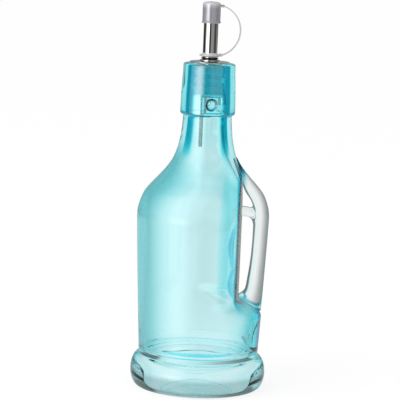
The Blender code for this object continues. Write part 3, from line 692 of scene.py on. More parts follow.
def sink_dimple(point, side):
    """Press the flat pocket and its round dimple into the collar."""
    face = side * point.y
    off, out = from_dimple(point)
    inside = 1 - ease(off, -0.5 * MM, 0.15 * MM)
    face = face + (min(face, POCKET_FACE) - face) * inside
    if out < 1:
        floor = COLLAR_RADIUS - DIMPLE_DEPTH
        face = min(face, floor + (POCKET_FACE - floor) * out**DIMPLE_STEEPNESS)
    point.y = side * face


def sink_flute(point):
    """Draw in every other column of points, for small flutes round the foot near the table."""
    column = round(math.atan2(point.y, point.x) / (2 * math.pi / BOTTLE_STEPS))
    if column % 2 == 0:
        return
    own = math.hypot(point.x, point.y)
    share = 1 - FLUTE_DEPTH * bump(point.z - FLUTE_HEIGHT, FLUTE_HEIGHT) / own
    point.x *= share
    point.y *= share


def refine_pockets(work):
    """Finer mesh where the pockets and dimples go."""
    near = []
    for line in work.edges:
        middle = (line.verts[0].co + line.verts[1].co) / 2
        is_outer = math.hypot(middle.x, middle.y) > (COLLAR_RADIUS + MOUTH_BORE_RADIUS) / 2
        is_near = abs(middle.z - DIMPLE_HEIGHT) < POCKET_TALL * 0.6
        if is_outer and is_near and abs(middle.x) < POCKET_WIDTH * 0.6:
            near.append(line)
    bmesh.ops.subdivide_edges(work, edges=near, cuts=2, use_grid_fill=True)


def coats(point, is_inner):
    """Thickness of the aqua coat face on, added where aslant and along a bore's edge, then shade
    where aslant, thickness added at the rim, and shade where light goes in."""
    own = math.hypot(point.x, point.y)
    if is_inner:
        hollowed = inner_hollow(point.y, point.z) / UPPER_HOLLOW_DEPTH
        hollowed = min(2 * hollowed * ease(point.x, *HOLLOW_FRONT), 1.0)
        face = BORE_COAT * within(point.z, BORE_START, BORE_END) + HOLLOW_COAT * hollowed
        if point.z < FLOOR_HEIGHT + FLOOR_CORNER:
            face += FLOOR_EDGE_COAT * bump(own - FLOOR_RING, 0.7 * MM)
        return face, HOLLOW_EDGE_COAT * hollowed, 0.0, 0.0, 0.0, 0.0
    foot_top = ease(point.z, FOOT_HEIGHT * 0.8, FOOT_HEIGHT * 1.4)
    shoulder = within(point.z, SHOULDER_START, SHOULDER_END)
    neck = ease(point.z, *NECK_START)
    collar = ease(point.z, *COLLAR_START)
    recess = ease(point.x, *RECESS_FRONT) * within(point.z, RECESS_START, RECESS_END)
    under_ledge = ease(point.x, *UNDER_LEDGE_FRONT)
    under_ledge *= within(point.z, UNDER_LEDGE_START, UNDER_LEDGE_END)
    face = FOOT_COAT + (WALL_COAT - FOOT_COAT) * foot_top
    face += (NECK_COAT - WALL_COAT) * neck + (COLLAR_COAT - NECK_COAT) * collar
    if point.z < PUNT_DEPTH + 0.1 * MM and own < STANDING_RADIUS - STANDING_WIDTH:
        face += LENS_COAT * (1 - ease(own, *LENS_END))
    face += (PANEL_COAT - WALL_COAT) * recess
    # Less edge tint and less painted shade where the wall turns in towards the panel
    calm = ease(point.x, *CALM_FRONT) * within(point.z, RECESS_START, CALM_END)
    edge = WALL_EDGE_COAT * foot_top + (SHOULDER_EDGE_COAT - WALL_EDGE_COAT) * shoulder
    edge *= (1 - neck) * (1 - 0.85 * calm)
    edge += (PANEL_EDGE_COAT - edge) * max(recess, under_ledge)
    line = NECK_LINE_COAT * neck + (COLLAR_LINE_COAT - NECK_LINE_COAT) * collar
    # Painted shade where the wall is seen aslant, lighter on its far left side
    shade = WALL_EDGE_SHADE * foot_top * (1 - neck) * (1 - max(calm, under_ledge))
    shade *= 1 - 0.4 * ease(-point.x, 35.5 * MM, 38 * MM)
    rim = FOOT_RIM_COAT + (WALL_RIM_COAT - FOOT_RIM_COAT) * foot_top
    rim += (PANEL_RIM_COAT - rim) * recess
    rim += (LEDGE_RIM_COAT - rim) * under_ledge
    # A deep ring of tint and painted shade at the collar's foot and at the edges of dimple and
    # pocket
    at_foot = bump(point.z - COLLAR_FOOT - 0.6 * MM, 1.7 * MM)
    edge += COLLAR_FOOT_COAT * at_foot
    shade += COLLAR_FOOT_SHADE * at_foot
    off, out = from_dimple(point)
    face *= ease(out, 0.35, 0.5)
    face += DIMPLE_COAT * bump(out - 0.78, 0.3)
    face += POCKET_EDGE_COAT * bump(off + 0.1 * MM, 0.6 * MM)
    # Thicker tint and painted shade near the table and along the panel's edges
    base = 1 - ease(point.z, *BASE_END)
    face += 0.5 * base
    corner = recess * ease(abs(point.y), *CORNER_ASIDE)
    edge += PANEL_CORNER_COAT * corner
    dim = BASE_DIM * base + STANDING_DIM * bump(point.z - 2.2 * MM, 2.2 * MM)
    return face, edge, line, shade, rim, max(dim, PANEL_EDGE_DIM * corner)


def is_inside(point):
    """Whether a point of the turned bottle lies on its cavity's side."""
    own = math.hypot(point.x, point.y)
    if point.z < FLOOR_HEIGHT:
        return False
    if point.z > COLLAR_FOOT:
        return own < MOUTH_BORE_RADIUS + 1.8 * MM
    return own < (outline_radius(point.z) + cavity_radius(point.z)) / 2


def draw_fold(point):
    """Draw the cavity's wall in over the fold of thick glass below the ledge."""
    own = math.hypot(point.x, point.y)
    if own <= FLOOR_CORNER or point.z <= FLOOR_HEIGHT:
        return
    fold = FOLD_DEPTH * bump(point.z - FOLD_HEIGHT, FOLD_LENGTH / 2)
    fold *= bump(point.y, FOLD_WIDTH / 2) * ease(point.x / own, 0.2, 0.9)
    point.x -= fold * ease(own, 15 * MM, 30 * MM)


def make_bottle(material):
    """The turned bottle, with flutes, pockets, dimples, fold, ledge and panel pressed into it."""
    work = turned(inner_profile() + outer_profile() + base_profile(), BOTTLE_STEPS)
    refine_pockets(work)
    layers = [work.verts.layers.float.new(name) for name in COAT_LAYERS]
    low = LEDGE_FOOT_HEIGHT - FOOT_HEIGHT
    for vertex in work.verts:
        point = vertex.co
        is_inner = is_inside(point)
        for layer, value in zip(layers, coats(point, is_inner)):
            vertex[layer] = value
        if point.z < 2 * FLUTE_HEIGHT and math.hypot(point.x, point.y) > STANDING_RADIUS:
            sink_flute(point)
        if point.z > COLLAR_FOOT:
            if not is_inner and abs(point.x) < POCKET_WIDTH:
                sink_dimple(point, math.copysign(1, point.y))
        elif point.x > 0 and is_inner:
            draw_fold(point)
            if point.z > low:
                radius = min(cavity_radius(point.z), math.hypot(point.x, point.y))
                vertex.co = pressed(point, radius, -PANEL_WALL_SEEN)
        elif point.x > 0 and point.z >= low:
            vertex.co = pressed(point, outline_radius(point.z), 0.0)
    bottle = finish_piece(work, "aqua_bottle", material, 60)
    dress(bottle, "bottle", "glass_bottle")


def bottle_skin():
    """The bottle's outer form grown by a hair, solid: what the handle is cut to."""
    heights = rows(NECK_HEIGHT, LEDGE_TOP_HEIGHT, 1.0 * MM)
    heights += rows(LEDGE_TOP_HEIGHT, LEDGE_END, 0.5 * MM)[1:]
    heights += rows(LEDGE_END, 30 * MM, 1.6 * MM)[1:]
    points = [(outline_radius(z) + JOIN_GAP, z) for z in heights]
    work = turned([(0, heights[0])] + points + [(0, heights[-1])], BOTTLE_STEPS)
    for vertex in work.verts:
        point = vertex.co
        if point.x > 0 and math.hypot(point.x, point.y) > 10 * JOIN_GAP:
            vertex.co = pressed(point, outline_radius(point.z) + JOIN_GAP, JOIN_GAP)
    return finish_piece(work, "skin", None)


def section(inner, outer, half_width, count):
    """A rounded ring in the plane of Y and the line from inner to outer, both (x, z)."""
    middle = Vector(((inner[0] + outer[0]) / 2, 0, (inner[1] + outer[1]) / 2))
    half = Vector(((outer[0] - inner[0]) / 2, 0, (outer[1] - inner[1]) / 2))
    ring = []
    for i in range(count):
        turn = 2 * math.pi * i / count
        along = power(math.cos(turn), 2 / HANDLE_SQUARENESS)
        aside = power(math.sin(turn), 2 / HANDLE_SQUARENESS)
        ring.append(middle + half * along + Vector((0, half_width * aside, 0)))
    return ring


def handle_rings():
    """Sections of the bar, from its tail on the shoulder down to its foot on the ledge."""
    rise = HANDLE_TAIL_HEIGHT - LEDGE_FOOT_HEIGHT
    last = len(HANDLE_STATION_SHARES) - 1
    columns = [[(i, row[k]) for i, row in enumerate(HANDLE_STATION_SHARES)] for k in range(4)]
    rings = []
    count = last * 5
    for i in range(count + 1):
        outer_share, inner_share, out_share, width_share = (through(c, i / 5) for c in columns)
        outer_height = LEDGE_FOOT_HEIGHT + rise * outer_share
        inner_height = LEDGE_FOOT_HEIGHT + rise * inner_share
        outline = outline_radius(inner_height)
        panel = panel_reach(max(inner_height, LEDGE_TOP_HEIGHT + LEDGE_FILLET), outline, 0.0)
        way_out = outline - panel if out_share > 0 else HANDLE_LAP
        inner = (panel + way_out * out_share, inner_height)
        outer = (outline_radius(outer_height), outer_height)
        rings.append(section(inner, outer, HANDLE_WIDTH / 2 * width_share, 40))
    return rings


def bridge_rings():
    """The bridge from panel to bar: its underside rounds into the finger loop's corner."""
    start = PANEL_REACH - 2.0 * MM
    bar_face = PANEL_REACH + (outline_radius(BRIDGE_HEIGHT) - PANEL_REACH) * BRIDGE_OUT_SHARE
    end = bar_face + 4.0 * MM
    rings = []
    for i in range(33):
        along = i / 32
        x = start + (end - start) * along
        near = min(max(x - bar_face + LOOP_CORNER, 0.0), LOOP_CORNER)
        drop = LOOP_CORNER - math.sqrt(LOOP_CORNER**2 - near**2)
        low = BRIDGE_HEIGHT - BRIDGE_DEPTH / 2 - drop
        high = BRIDGE_HEIGHT + BRIDGE_DEPTH / 2 - BRIDGE_FALL * along**1.5
        rings.append(section((x, low), (x, high), BRIDGE_WIDTH / 2, 32))
    return rings


def tint_joins(mesh):
    """Mark how near each point of the handle lies to the bottle, along its tail and foot."""
    tint = mesh.attributes.new("join", "FLOAT", "POINT")
    for vertex in mesh.vertices:
        point = vertex.co
        radius = outline_radius(point.z)
        reach = panel_reach(point.z, radius, 0.0)
        across = min(abs(point.y) / radius, 1.0)
        gap = point.x - reach * math.sqrt(1 - across * across)
        tail = ease(point.z, 121 * MM, 127 * MM) + ease(point.z, 127 * MM, 134 * MM)
        foot = 1 - ease(point.z, LEDGE_TOP_HEIGHT - 1 * MM, LEDGE_TOP_HEIGHT + 2 * MM)
        foot += (1 - ease(point.z, 50 * MM, 52 * MM)) * ease(point.x, 32 * MM, 35 * MM)
        near = 1 - ease(gap, 0.5 * MM, JOIN_TINT_REACH)
        tint.data[vertex.index].value = near * max(tail, foot)


def make_handle(material):
    """Solid glass bar, melted together with its bridge and cut to the bottle's skin."""
    bar = finish_piece(swept(handle_rings()), "clear_handle", material)
    bridge = finish_piece(swept(bridge_rings()), "bridge", material)
    bar = combine(bar, bridge, "UNION")
    melt = bar.modifiers.new("melt", "REMESH")
    melt.mode = "VOXEL"
    melt.voxel_size = 0.55 * MM
    melt.use_smooth_shade = True
    bpy.context.view_layer.update()
    bar = applied(bar, "clear_handle")
    work = bmesh.new()
    work.from_mesh(bar.data)
    for _ in range(9):
        bmesh.ops.smooth_vert(
            work, verts=work.verts, factor=0.5, use_axis_x=True, use_axis_y=True, use_axis_z=True
        )
    work.to_mesh(bar.data)
    work.free()
    bar = combine(bar, bottle_skin(), "DIFFERENCE")
    bar.data.materials.clear()
    bar.data.materials.append(material)
    tint_joins(bar.data)
    smoothed(bar.data, 35)
    dress(bar, "bottle", "glass_handle")


def make_plate(material):
    """Domed steel cover plate with a rolled edge and a raised hub."""
    hole = TUBE_RADIUS + TIGHT_FIT
    dome_top = PLATE_LOW + PLATE_DOME + PLATE_THICKNESS
    top = dome_top + HUB_HEIGHT
    round_edge = (PLATE_ROUND, PLATE_ROUND)
    hub = arc((HUB_RADIUS - PLATE_ROUND, top - PLATE_ROUND), round_edge, 90, 0, 5)
    slope = []
    for i in range(13):
        share = i / 12
        radius = HUB_RADIUS + (PLATE_RADIUS - 0.4 * MM - HUB_RADIUS) * share
        slope.append((radius, dome_top - PLATE_DOME * share**1.7))
    edge = arc((PLATE_RADIUS - PLATE_ROUND, PLATE_LOW + PLATE_ROUND), round_edge, 80, -90, 8)
    profile = [(hole, top)] + hub + slope + edge + [(hole, PLATE_LOW)]
    plate = finish_piece(turned(profile, POURER_STEPS), "steel_plate", material, 35)
    dress(plate, "pourer", "cover_plate")


def make_tube(material):
    """Steel pouring tube with a rounded mouth and a rolled bead over the plate's hub."""
    bore = TUBE_RADIUS - TUBE_WALL
    middle = TUBE_RADIUS - TUBE_WALL / 2
    mouth = arc((middle, TUBE_TOP - TUBE_WALL / 2), (TUBE_WALL / 2, TUBE_WALL / 2), 180, 0, 8)
    bead = []
    for i in range(13):
        turn = math.pi * i / 12
        swell = (BEAD_RADIUS - TUBE_RADIUS) * math.sin(turn) ** 0.8
        bead.append((TUBE_RADIUS + swell, BEAD_LOW + BEAD_HEIGHT * (1 + math.cos(turn)) / 2))
    profile = mouth + [(TUBE_RADIUS, BEAD_LOW + BEAD_HEIGHT + 0.3 * MM)] + bead
    profile += [(TUBE_RADIUS, BEAD_LOW - 0.2 * MM), (TUBE_RADIUS, TUBE_FOOT), (bore, TUBE_FOOT)]
    tube = finish_piece(turned(profile, POURER_STEPS), "steel_tube", material, 45)
    dress(tube, "pourer", "pour_tube")


def make_stopper(material):
    """Soft plug with sloping, rounded sealing ribs and a hollow foot."""
    bore = TUBE_RADIUS + TIGHT_FIT
    profile = [(bore, BOTTLE_HEIGHT), (STOPPER_CORE_RADIUS - 0.3 * MM, BOTTLE_HEIGHT)]
    profile += [(STOPPER_CORE_RADIUS, BOTTLE_HEIGHT - 0.3 * MM)]
    first = STOPPER_FOOT + RIB_PITCH * (RIB_COUNT - 1)
    for i in range(RIB_COUNT):
        root = first - RIB_PITCH * i
        tip = root + RIB_SLOPE
        profile += [
            (STOPPER_CORE_RADIUS, root + RIB_THICKNESS * 2.0),
            (STOPPER_CORE_RADIUS + 0.25 * MM, root + RIB_THICKNESS * 1.6),
        ]
        profile += arc((RIB_RADIUS - 0.3 * MM, tip), (0.3 * MM, RIB_THICKNESS / 2), 90, -90, 6)
        profile += [(STOPPER_CORE_RADIUS + 0.15 * MM, root + 0.05 * MM)]
        if i < RIB_COUNT - 1:
            profile += [(STOPPER_CORE_RADIUS, root - 0.3 * MM)]
    shelf = STOPPER_FOOT + STOPPER_MOUTH_DEPTH
    profile += [
        (STOPPER_CORE_RADIUS - 0.3 * MM, STOPPER_FOOT),
        (STOPPER_MOUTH_RADIUS + 0.2 * MM, STOPPER_FOOT),
        (STOPPER_MOUTH_RADIUS, STOPPER_FOOT + 0.2 * MM),
        (STOPPER_MOUTH_RADIUS, shelf),
        (bore, shelf + 0.8 * MM),
    ]
    stopper = finish_piece(turned(profile, POURER_STEPS), "ribbed_plug", material, 40)
    dress(stopper, "pourer", "ribbed_stopper")


def make_air_tube(material):
    """Thin steel tube, stepped outwards inside the stopper, cut square at both ends."""
    path = [(AIR_TUBE_INSIDE, z) for z in rows(AIR_TUBE_TOP, TUBE_FOOT, 8 * MM)]
    for i in range(1, 13):
        share = i / 12
        aside = (1 - math.cos(math.pi * share)) / 2
        x = AIR_TUBE_INSIDE + (AIR_TUBE_OUTSIDE - AIR_TUBE_INSIDE) * aside
        path.append((x, AIR_TUBE_STEP_TOP - AIR_TUBE_STEP_LENGTH * share))
    path.append((AIR_TUBE_OUTSIDE, AIR_TUBE_FOOT))
    count = 28

    def ring(x, z, radius):
        turns = [2 * math.pi * i / count for i in range(count)]
        return [Vector((x + radius * math.cos(t), radius * math.sin(t), z)) for t in turns]

    rings = [ring(x, z, AIR_TUBE_RADIUS) for x, z in path]
    rings += [ring(x, z, AIR_TUBE_BORE) for x, z in reversed(path)]
    work = swept(rings)
    caps = [face for face in work.faces if len(face.verts) == count]
    bmesh.ops.delete(work, geom=caps, context="FACES_ONLY")
    ends = [line for line in work.edges if line.is_boundary]
    bmesh.ops.bridge_loops(work, edges=ends)
    bmesh.ops.recalc_face_normals(work, faces=work.faces)
    tube = finish_piece(work, "steel_air_tube", material, 50)
    dress(tube, "pourer", "air_tube")


def with_lug(piece, start, height, material):
    """The piece with a short rounded tongue towards +X, which holds the strap."""
    work = bmesh.new()
    bmesh.ops.create_cube(work, size=1.0)
    size = Vector((LUG_REACH - start, LUG_WIDTH, LUG_THICKNESS))
    bmesh.ops.scale(work, vec=size, verts=work.verts)
    middle = Vector(((start + LUG_REACH) / 2, 0, height))
    bmesh.ops.translate(work, vec=middle, verts=work.verts)
    bmesh.ops.bevel(
        work,
        geom=work.edges,
        offset=0.5 * MM,
        segments=4,
        profile=0.5,
        affect="EDGES",
        material=-1,
    )
    made = combine(piece, finish_piece(work, "lug", material), "UNION")
    smoothed(made.data, 40)
    return made


def make_ring(material):
    """Tether ring: a thin washer on a short sleeve, with a tongue for the strap."""
    bore = TUBE_RADIUS + LOOSE_FIT
    profile = [(bore, RING_TOP), (bore + 0.12 * MM, RING_TOP)]
    profile += [(bore + 0.2 * MM, FLANGE_TOP + 0.35 * MM)]
    profile += [(bore + 0.5 * MM, FLANGE_TOP + 0.05 * MM)]
    middle = (RING_RADIUS - RING_ROUND, FLANGE_TOP - RING_ROUND)
    profile += arc(middle, (RING_ROUND, RING_ROUND), 90, -90, 10)
    profile += [(RING_SLEEVE_RADIUS + 0.3 * MM, FLANGE_TOP - 1.05 * MM)]
    profile += [(RING_SLEEVE_RADIUS, RING_LOW), (bore, RING_LOW)]
    ring = finish_piece(turned(profile, POURER_STEPS), "soft_ring", material, 40)
    ring = with_lug(ring, 5.6 * MM, RING_LUG_HEIGHT, material)
    dress(ring, "ring", "tether_ring")


def mark_tube_shade(mesh):
    """Mark the part of the cap that gets painted shade from the steel tube inside it."""
    tube_shade = mesh.attributes.new("tube_shade", "FLOAT", "POINT")
    for vertex in mesh.vertices:
        clear = ease(vertex.co.z, TUBE_TOP - 2.5 * MM, TUBE_TOP + 0.8 * MM)
        tube_shade.data[vertex.index].value = 1 - clear


def make_cap(material):
    """Soft dust cap: a domed top, a slightly flared skirt and a rolled lip."""
    bore = TUBE_RADIUS + LOOSE_FIT
    dome = arc((CAP_RADIUS - 1.5 * MM, CAP_CROWN - 1.9 * MM), (1.5 * MM, 1.5 * MM), 70, 0, 9)
    top = []
    for i in range(9):
        share = i / 8
        radius = (CAP_RADIUS - 1.0 * MM) * share
        top.append((radius, CAP_CROWN - 0.48 * MM * share**2))
    skirt = [(CAP_RADIUS, z) for z in rows(CAP_CROWN - 2.4 * MM, CAP_LOW + 1.4 * MM, 2 * MM)]
    lip = arc((CAP_LIP_RADIUS - 0.4 * MM, CAP_LOW + 0.5 * MM), (0.4 * MM, 0.5 * MM), 70, -90, 9)
    profile = top + dome[1:] + skirt + lip
    profile += [(bore + 0.3 * MM, CAP_LOW), (bore, CAP_LOW + 0.3 * MM)]
    profile += [(bore, CAP_CEILING - 0.5 * MM), (bore - 0.5 * MM, CAP_CEILING), (0, CAP_CEILING)]
    cap = finish_piece(turned(profile, POURER_STEPS), "soft_cap", material, 40)
    mark_tube_shade(cap.data)
    cap = with_lug(cap, 4.9 * MM, CAP_LUG_HEIGHT, material)
    dress(cap, "cap", "dust_cap")


def make_strap(material):
    """Flat springy strap, spun as an arc from the ring's tongue out and up to the cap's."""
    start = LUG_REACH - 0.4 * MM
    half = (CAP_LUG_HEIGHT - RING_LUG_HEIGHT) / 2
    sag = STRAP_REACH - STRAP_THICKNESS / 2 - start
    radius = (half * half + sag * sag) / (2 * sag)
    sweep = math.asin(half / radius)
    if sag > radius:
        sweep = math.pi - sweep
    centre = Vector((STRAP_REACH - STRAP_THICKNESS / 2 - radius, 0, RING_LUG_HEIGHT + half))
    work = bmesh.new()
    made = bmesh.ops.create_circle(work, segments=24, radius=1.0)
    for vertex in made["verts"]:
        turn = math.atan2(vertex.co.y, vertex.co.x)
        along = power(math.cos(turn), 0.6)
        aside = power(math.sin(turn), 0.35)
        vertex.co = (radius + STRAP_THICKNESS / 2 * along, STRAP_WIDTH / 2 * aside, 0)
    bmesh.ops.rotate(
        work, verts=work.verts, cent=(0, 0, 0), matrix=Matrix.Rotation(sweep, 3, "Y")
    )
    bmesh.ops.translate(work, vec=centre, verts=work.verts)
    bmesh.ops.spin(
        work,
        geom=list(work.verts) + list(work.edges),
        cent=centre,
        axis=(0, 1, 0),
        dvec=(0, 0, 0),
        angle=-2 * sweep,
        steps=72,
        use_merge=False,
        use_duplicate=False,
    )
    close_ends(work)
    strap = finish_piece(work, "springy_strap", material, 50)
    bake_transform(strap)
    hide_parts("cap_strap")


class Nodes:
    """Adds nodes to one tree. A value that is a socket is linked, any other is set."""

    def __init__(self, tree):
        self.tree = tree
        self.shader = tree.nodes.get("Principled BSDF")

    def fill(self, sockets, values):
        """Give sockets their values, in order."""
        for socket, value in zip(sockets, values):
            if isinstance(value, bpy.types.NodeSocket):
                self.tree.links.new(value, socket)
            else:
                socket.default_value = value

    def put(self, node, **values):
        """Give a node its named properties and inputs."""
        for name, value in values.items():
            if hasattr(node, name):
                setattr(node, name, value)
            else:
                self.fill([node.inputs[name.replace("_", " ")]], [value])
        return node

    def add(self, kind, **values):
        return self.put(self.tree.nodes.new("ShaderNode" + kind), **values)

    def math(self, operation, *values):
        made = self.add("Math", operation=operation)
        self.fill(made.inputs, values)
        return made.outputs["Value"]

    def times(self, first, second, added=0.0):
        """First times second, and something added."""
        return self.math("MULTIPLY_ADD", first, second, added)

    def rest(self, share):
        """What a share leaves of one."""
        return self.math("SUBTRACT", 1.0, share)

    def band(self, value, low, high):
        """Zero below low, one above high, smooth between."""
        made = self.add("MapRange", interpolation_type="SMOOTHSTEP", Value=value)
        return self.put(made, From_Min=low, From_Max=high).outputs["Result"]

    def mixed(self, share, first, second):
        made = self.add("Mix", data_type="RGBA")
        self.fill([socket for socket in made.inputs if socket.enabled], (share, first, second))
        return next(socket for socket in made.outputs if socket.enabled)

    def group(self, shared, **values):
        """A shared group, placed with its own values."""
        return self.add("Group", node_tree=shared, **values).outputs[0]

    def facing(self):
        """Zero where a surface is seen face on, one where it is seen edge on."""
        return self.add("LayerWeight", Blend=0.5).outputs["Facing"]

    def mark(self, name):
        """One of the marks that a piece carries on its points."""
        return self.add("Attribute", attribute_name=name).outputs["Fac"]


def grey(light):
    return (light, light, light, 1.0)


def new_group(name, inputs, output, kind):
    group = bpy.data.node_groups.new(name, "ShaderNodeTree")
    for label, value in inputs.items():
        socket = group.interface.new_socket(label, in_out="INPUT", socket_type="NodeSocketFloat")
        socket.default_value = value
    group.interface.new_socket(output, in_out="OUTPUT", socket_type=kind)
    start = group.nodes.new("NodeGroupInput")
    end = group.nodes.new("NodeGroupOutput")
    return Nodes(group), start.outputs, end


def soft_waves_group():
    """Slow waves of a pressed or moulded surface, as a normal."""
    inputs = {"Scale": 60.0, "Strength": 0.2, "Depth": 0.0002}
    at, given, end = new_group("soft_waves", inputs, "Normal", "NodeSocketVector")
    place = at.add("TexCoord").outputs["Object"]
    noise = at.add("TexNoise", Vector=place, Scale=given["Scale"], Detail=1.5, Roughness=0.4)
    lift = at.add("Bump", Height=noise.outputs["Fac"])
    at.put(lift, Strength=given["Strength"], Distance=given["Depth"])
    at.put(end, Normal=lift.outputs["Normal"])
    return at.tree


def handling_group():
    """Faint smears and rubbed places, as a roughness."""
    inputs = {"Clean": 0.02, "Smeared": 0.08, "Scale": 90.0}
    at, given, end = new_group("handling", inputs, "Roughness", "NodeSocketFloat")
    place = at.add("TexCoord").outputs["Object"]
    noise = at.add("TexNoise", Vector=place, Scale=given["Scale"])
    at.put(noise, Detail=4.0, Roughness=0.6, Distortion=0.8)
    share = at.add("MapRange", Value=noise.outputs["Fac"], From_Min=0.5, From_Max=0.75)
    at.put(share, To_Min=given["Clean"], To_Max=given["Smeared"])
    at.put(end, Roughness=share.outputs["Result"])
    return at.tree


def new_material(name, groups, wave, smears, **values):
    """A material with gentle waves and, if it has smears, a roughness from handling."""
    waves, handling = groups
    material = bpy.data.materials.new(name)
    material.use_nodes = True
    at = Nodes(material.node_tree)
    at.put(at.shader, Normal=at.group(waves, **wave), **values)
    if smears:
        at.put(at.shader, Roughness=at.group(handling, **smears))
    return material, at


def glass_material(name, groups, wave, tint, density):
    material, at = new_material(name, groups, wave, None, Base_Color=grey(1.0), IOR=1.5)
    at.put(at.shader, Roughness=0.0, Transmission_Weight=1.0)
    absorb = at.add("VolumeAbsorption", Color=tint, Density=density)
    at.put(at.tree.nodes["Material Output"], Volume=absorb.outputs["Volume"])
    return material, at


def coat_colour(at):
    """Tint the bottle by its coat, deeper where thick and where seen aslant, with painted shade
    over it.
    """
    coat, edge_coat, line_coat, edge_shade, rim_coat, dim = (at.mark(name) for name in COAT_LAYERS)
    facing = at.facing()
    going_in = at.rest(at.add("NewGeometry").outputs["Backfacing"])
    aslant = at.times(at.band(facing, *ASLANT), at.times(at.band(facing, *EDGE_ON), -0.6, 1.0))
    near_line = at.times(at.band(facing, *NEAR_LINE), 0.18)
    on_line = at.times(at.band(facing, *ON_LINE), 0.82, near_line)
    on_line = at.times(on_line, at.rest(at.band(facing, *PAST_LINE)))
    line = at.times(line_coat, at.times(on_line, going_in))
    rim = at.times(rim_coat, at.times(at.band(facing, *RIM_SEEN), going_in))
    thickness = at.times(edge_coat, aslant, coat)
    thickness = at.math("ADD", thickness, at.math("ADD", line, rim))
    shade = at.times(edge_shade, aslant)
    shade = at.times(rim, RIM_SHADE, shade)
    shade = at.times(line, LINE_SHADE, shade)
    shade = at.times(at.band(coat, 8.0, 15.0), DEEP_SHADE, shade)
    lit = at.rest(at.times(dim, going_in, shade))
    colour = at.add("CombineColor")
    for socket, share in zip(colour.inputs, AQUA_COAT):
        at.fill([socket], [at.times(at.math("POWER", share, thickness), lit)])
    # The collar was fire polished to a brighter gloss.
    outside = at.times(at.rest(at.band(facing, *GLOSS_SEEN)), going_in)
    glossy = at.times(at.band(coat, 1.3, 1.9), outside)
    at.put(at.shader, Base_Color=colour.outputs["Color"], Coat_Weight=glossy)
    at.put(at.shader, Coat_IOR=1.9, Coat_Roughness=0.04)


def join_colour(at):
    """Aqua where the handle's ends meet the bottle, greener glass at its edges, painted shade on
    its rim.
    """
    join = at.mark("join")
    facing = at.facing()
    clear = at.mixed(at.band(facing, 0.01, 0.2), grey(1.0), HANDLE_EDGE_TINT)
    # Painted shade along the rim, where the handle is seen edge on
    clear = at.mixed(at.band(facing, 0.5, 0.8), clear, HANDLE_RIM_PAINTED_SHADE)
    colour = at.mixed(join, clear, JOIN_TINT)
    colour = at.mixed(at.math("SUBTRACT", join, 1.0), colour, JOIN_DEEP)
    at.put(at.shader, Base_Color=colour)


def painted_seam_shade(at):
    """Painted shade in the seam between the plate's hub and the tube's bead."""
    height = at.add("SeparateXYZ", Vector=at.add("TexCoord").outputs["Object"]).outputs["Z"]
    above_plate = at.band(height, SEAM_LOW, SEAM_LOW + 0.15 * MM)
    seam = at.times(above_plate, at.rest(at.band(height, SEAM_TOP, SEAM_TOP + 0.5 * MM)))
    at.put(at.shader, Base_Color=at.mixed(seam, STEEL_COLOUR, SEAM_SHADE_COLOUR))


def tube_shaded_colour(at):
    """Milky plastic, with painted shade where the steel tube stands close behind it."""
    at.put(at.shader, Base_Color=at.mixed(at.mark("tube_shade"), CAP_COLOUR, CAP_TUBE_SHADE))
    at.put(at.shader, Coat_Weight=1.0, Coat_IOR=2.3, Coat_Roughness=0.03)


def sector_ramp(at, turn, sectors, top):
    """A colour ramp over the turn about Z, as light shares of top."""
    ramp = at.add("ValToRGB", Fac=turn)
    elements = ramp.color_ramp.elements
    while len(elements) < len(sectors):
        elements.new(0.5)
    for element, (degrees, _) in zip(elements, sectors):
        element.position = (degrees + 180) / 360
    for element, (_, light) in zip(elements, sectors):
        element.color = grey(light / top)
    return ramp.outputs["Color"]


def glow(at, ramp, share, added):
    """A share of a ramp's light, and the same amount added all round."""
    made = at.add("VectorMath", operation="MULTIPLY_ADD")
    at.fill(made.inputs, (ramp, (share * SOFT_BOX_LIGHT,) * 3, (added,) * 3))
    return made.outputs[0]


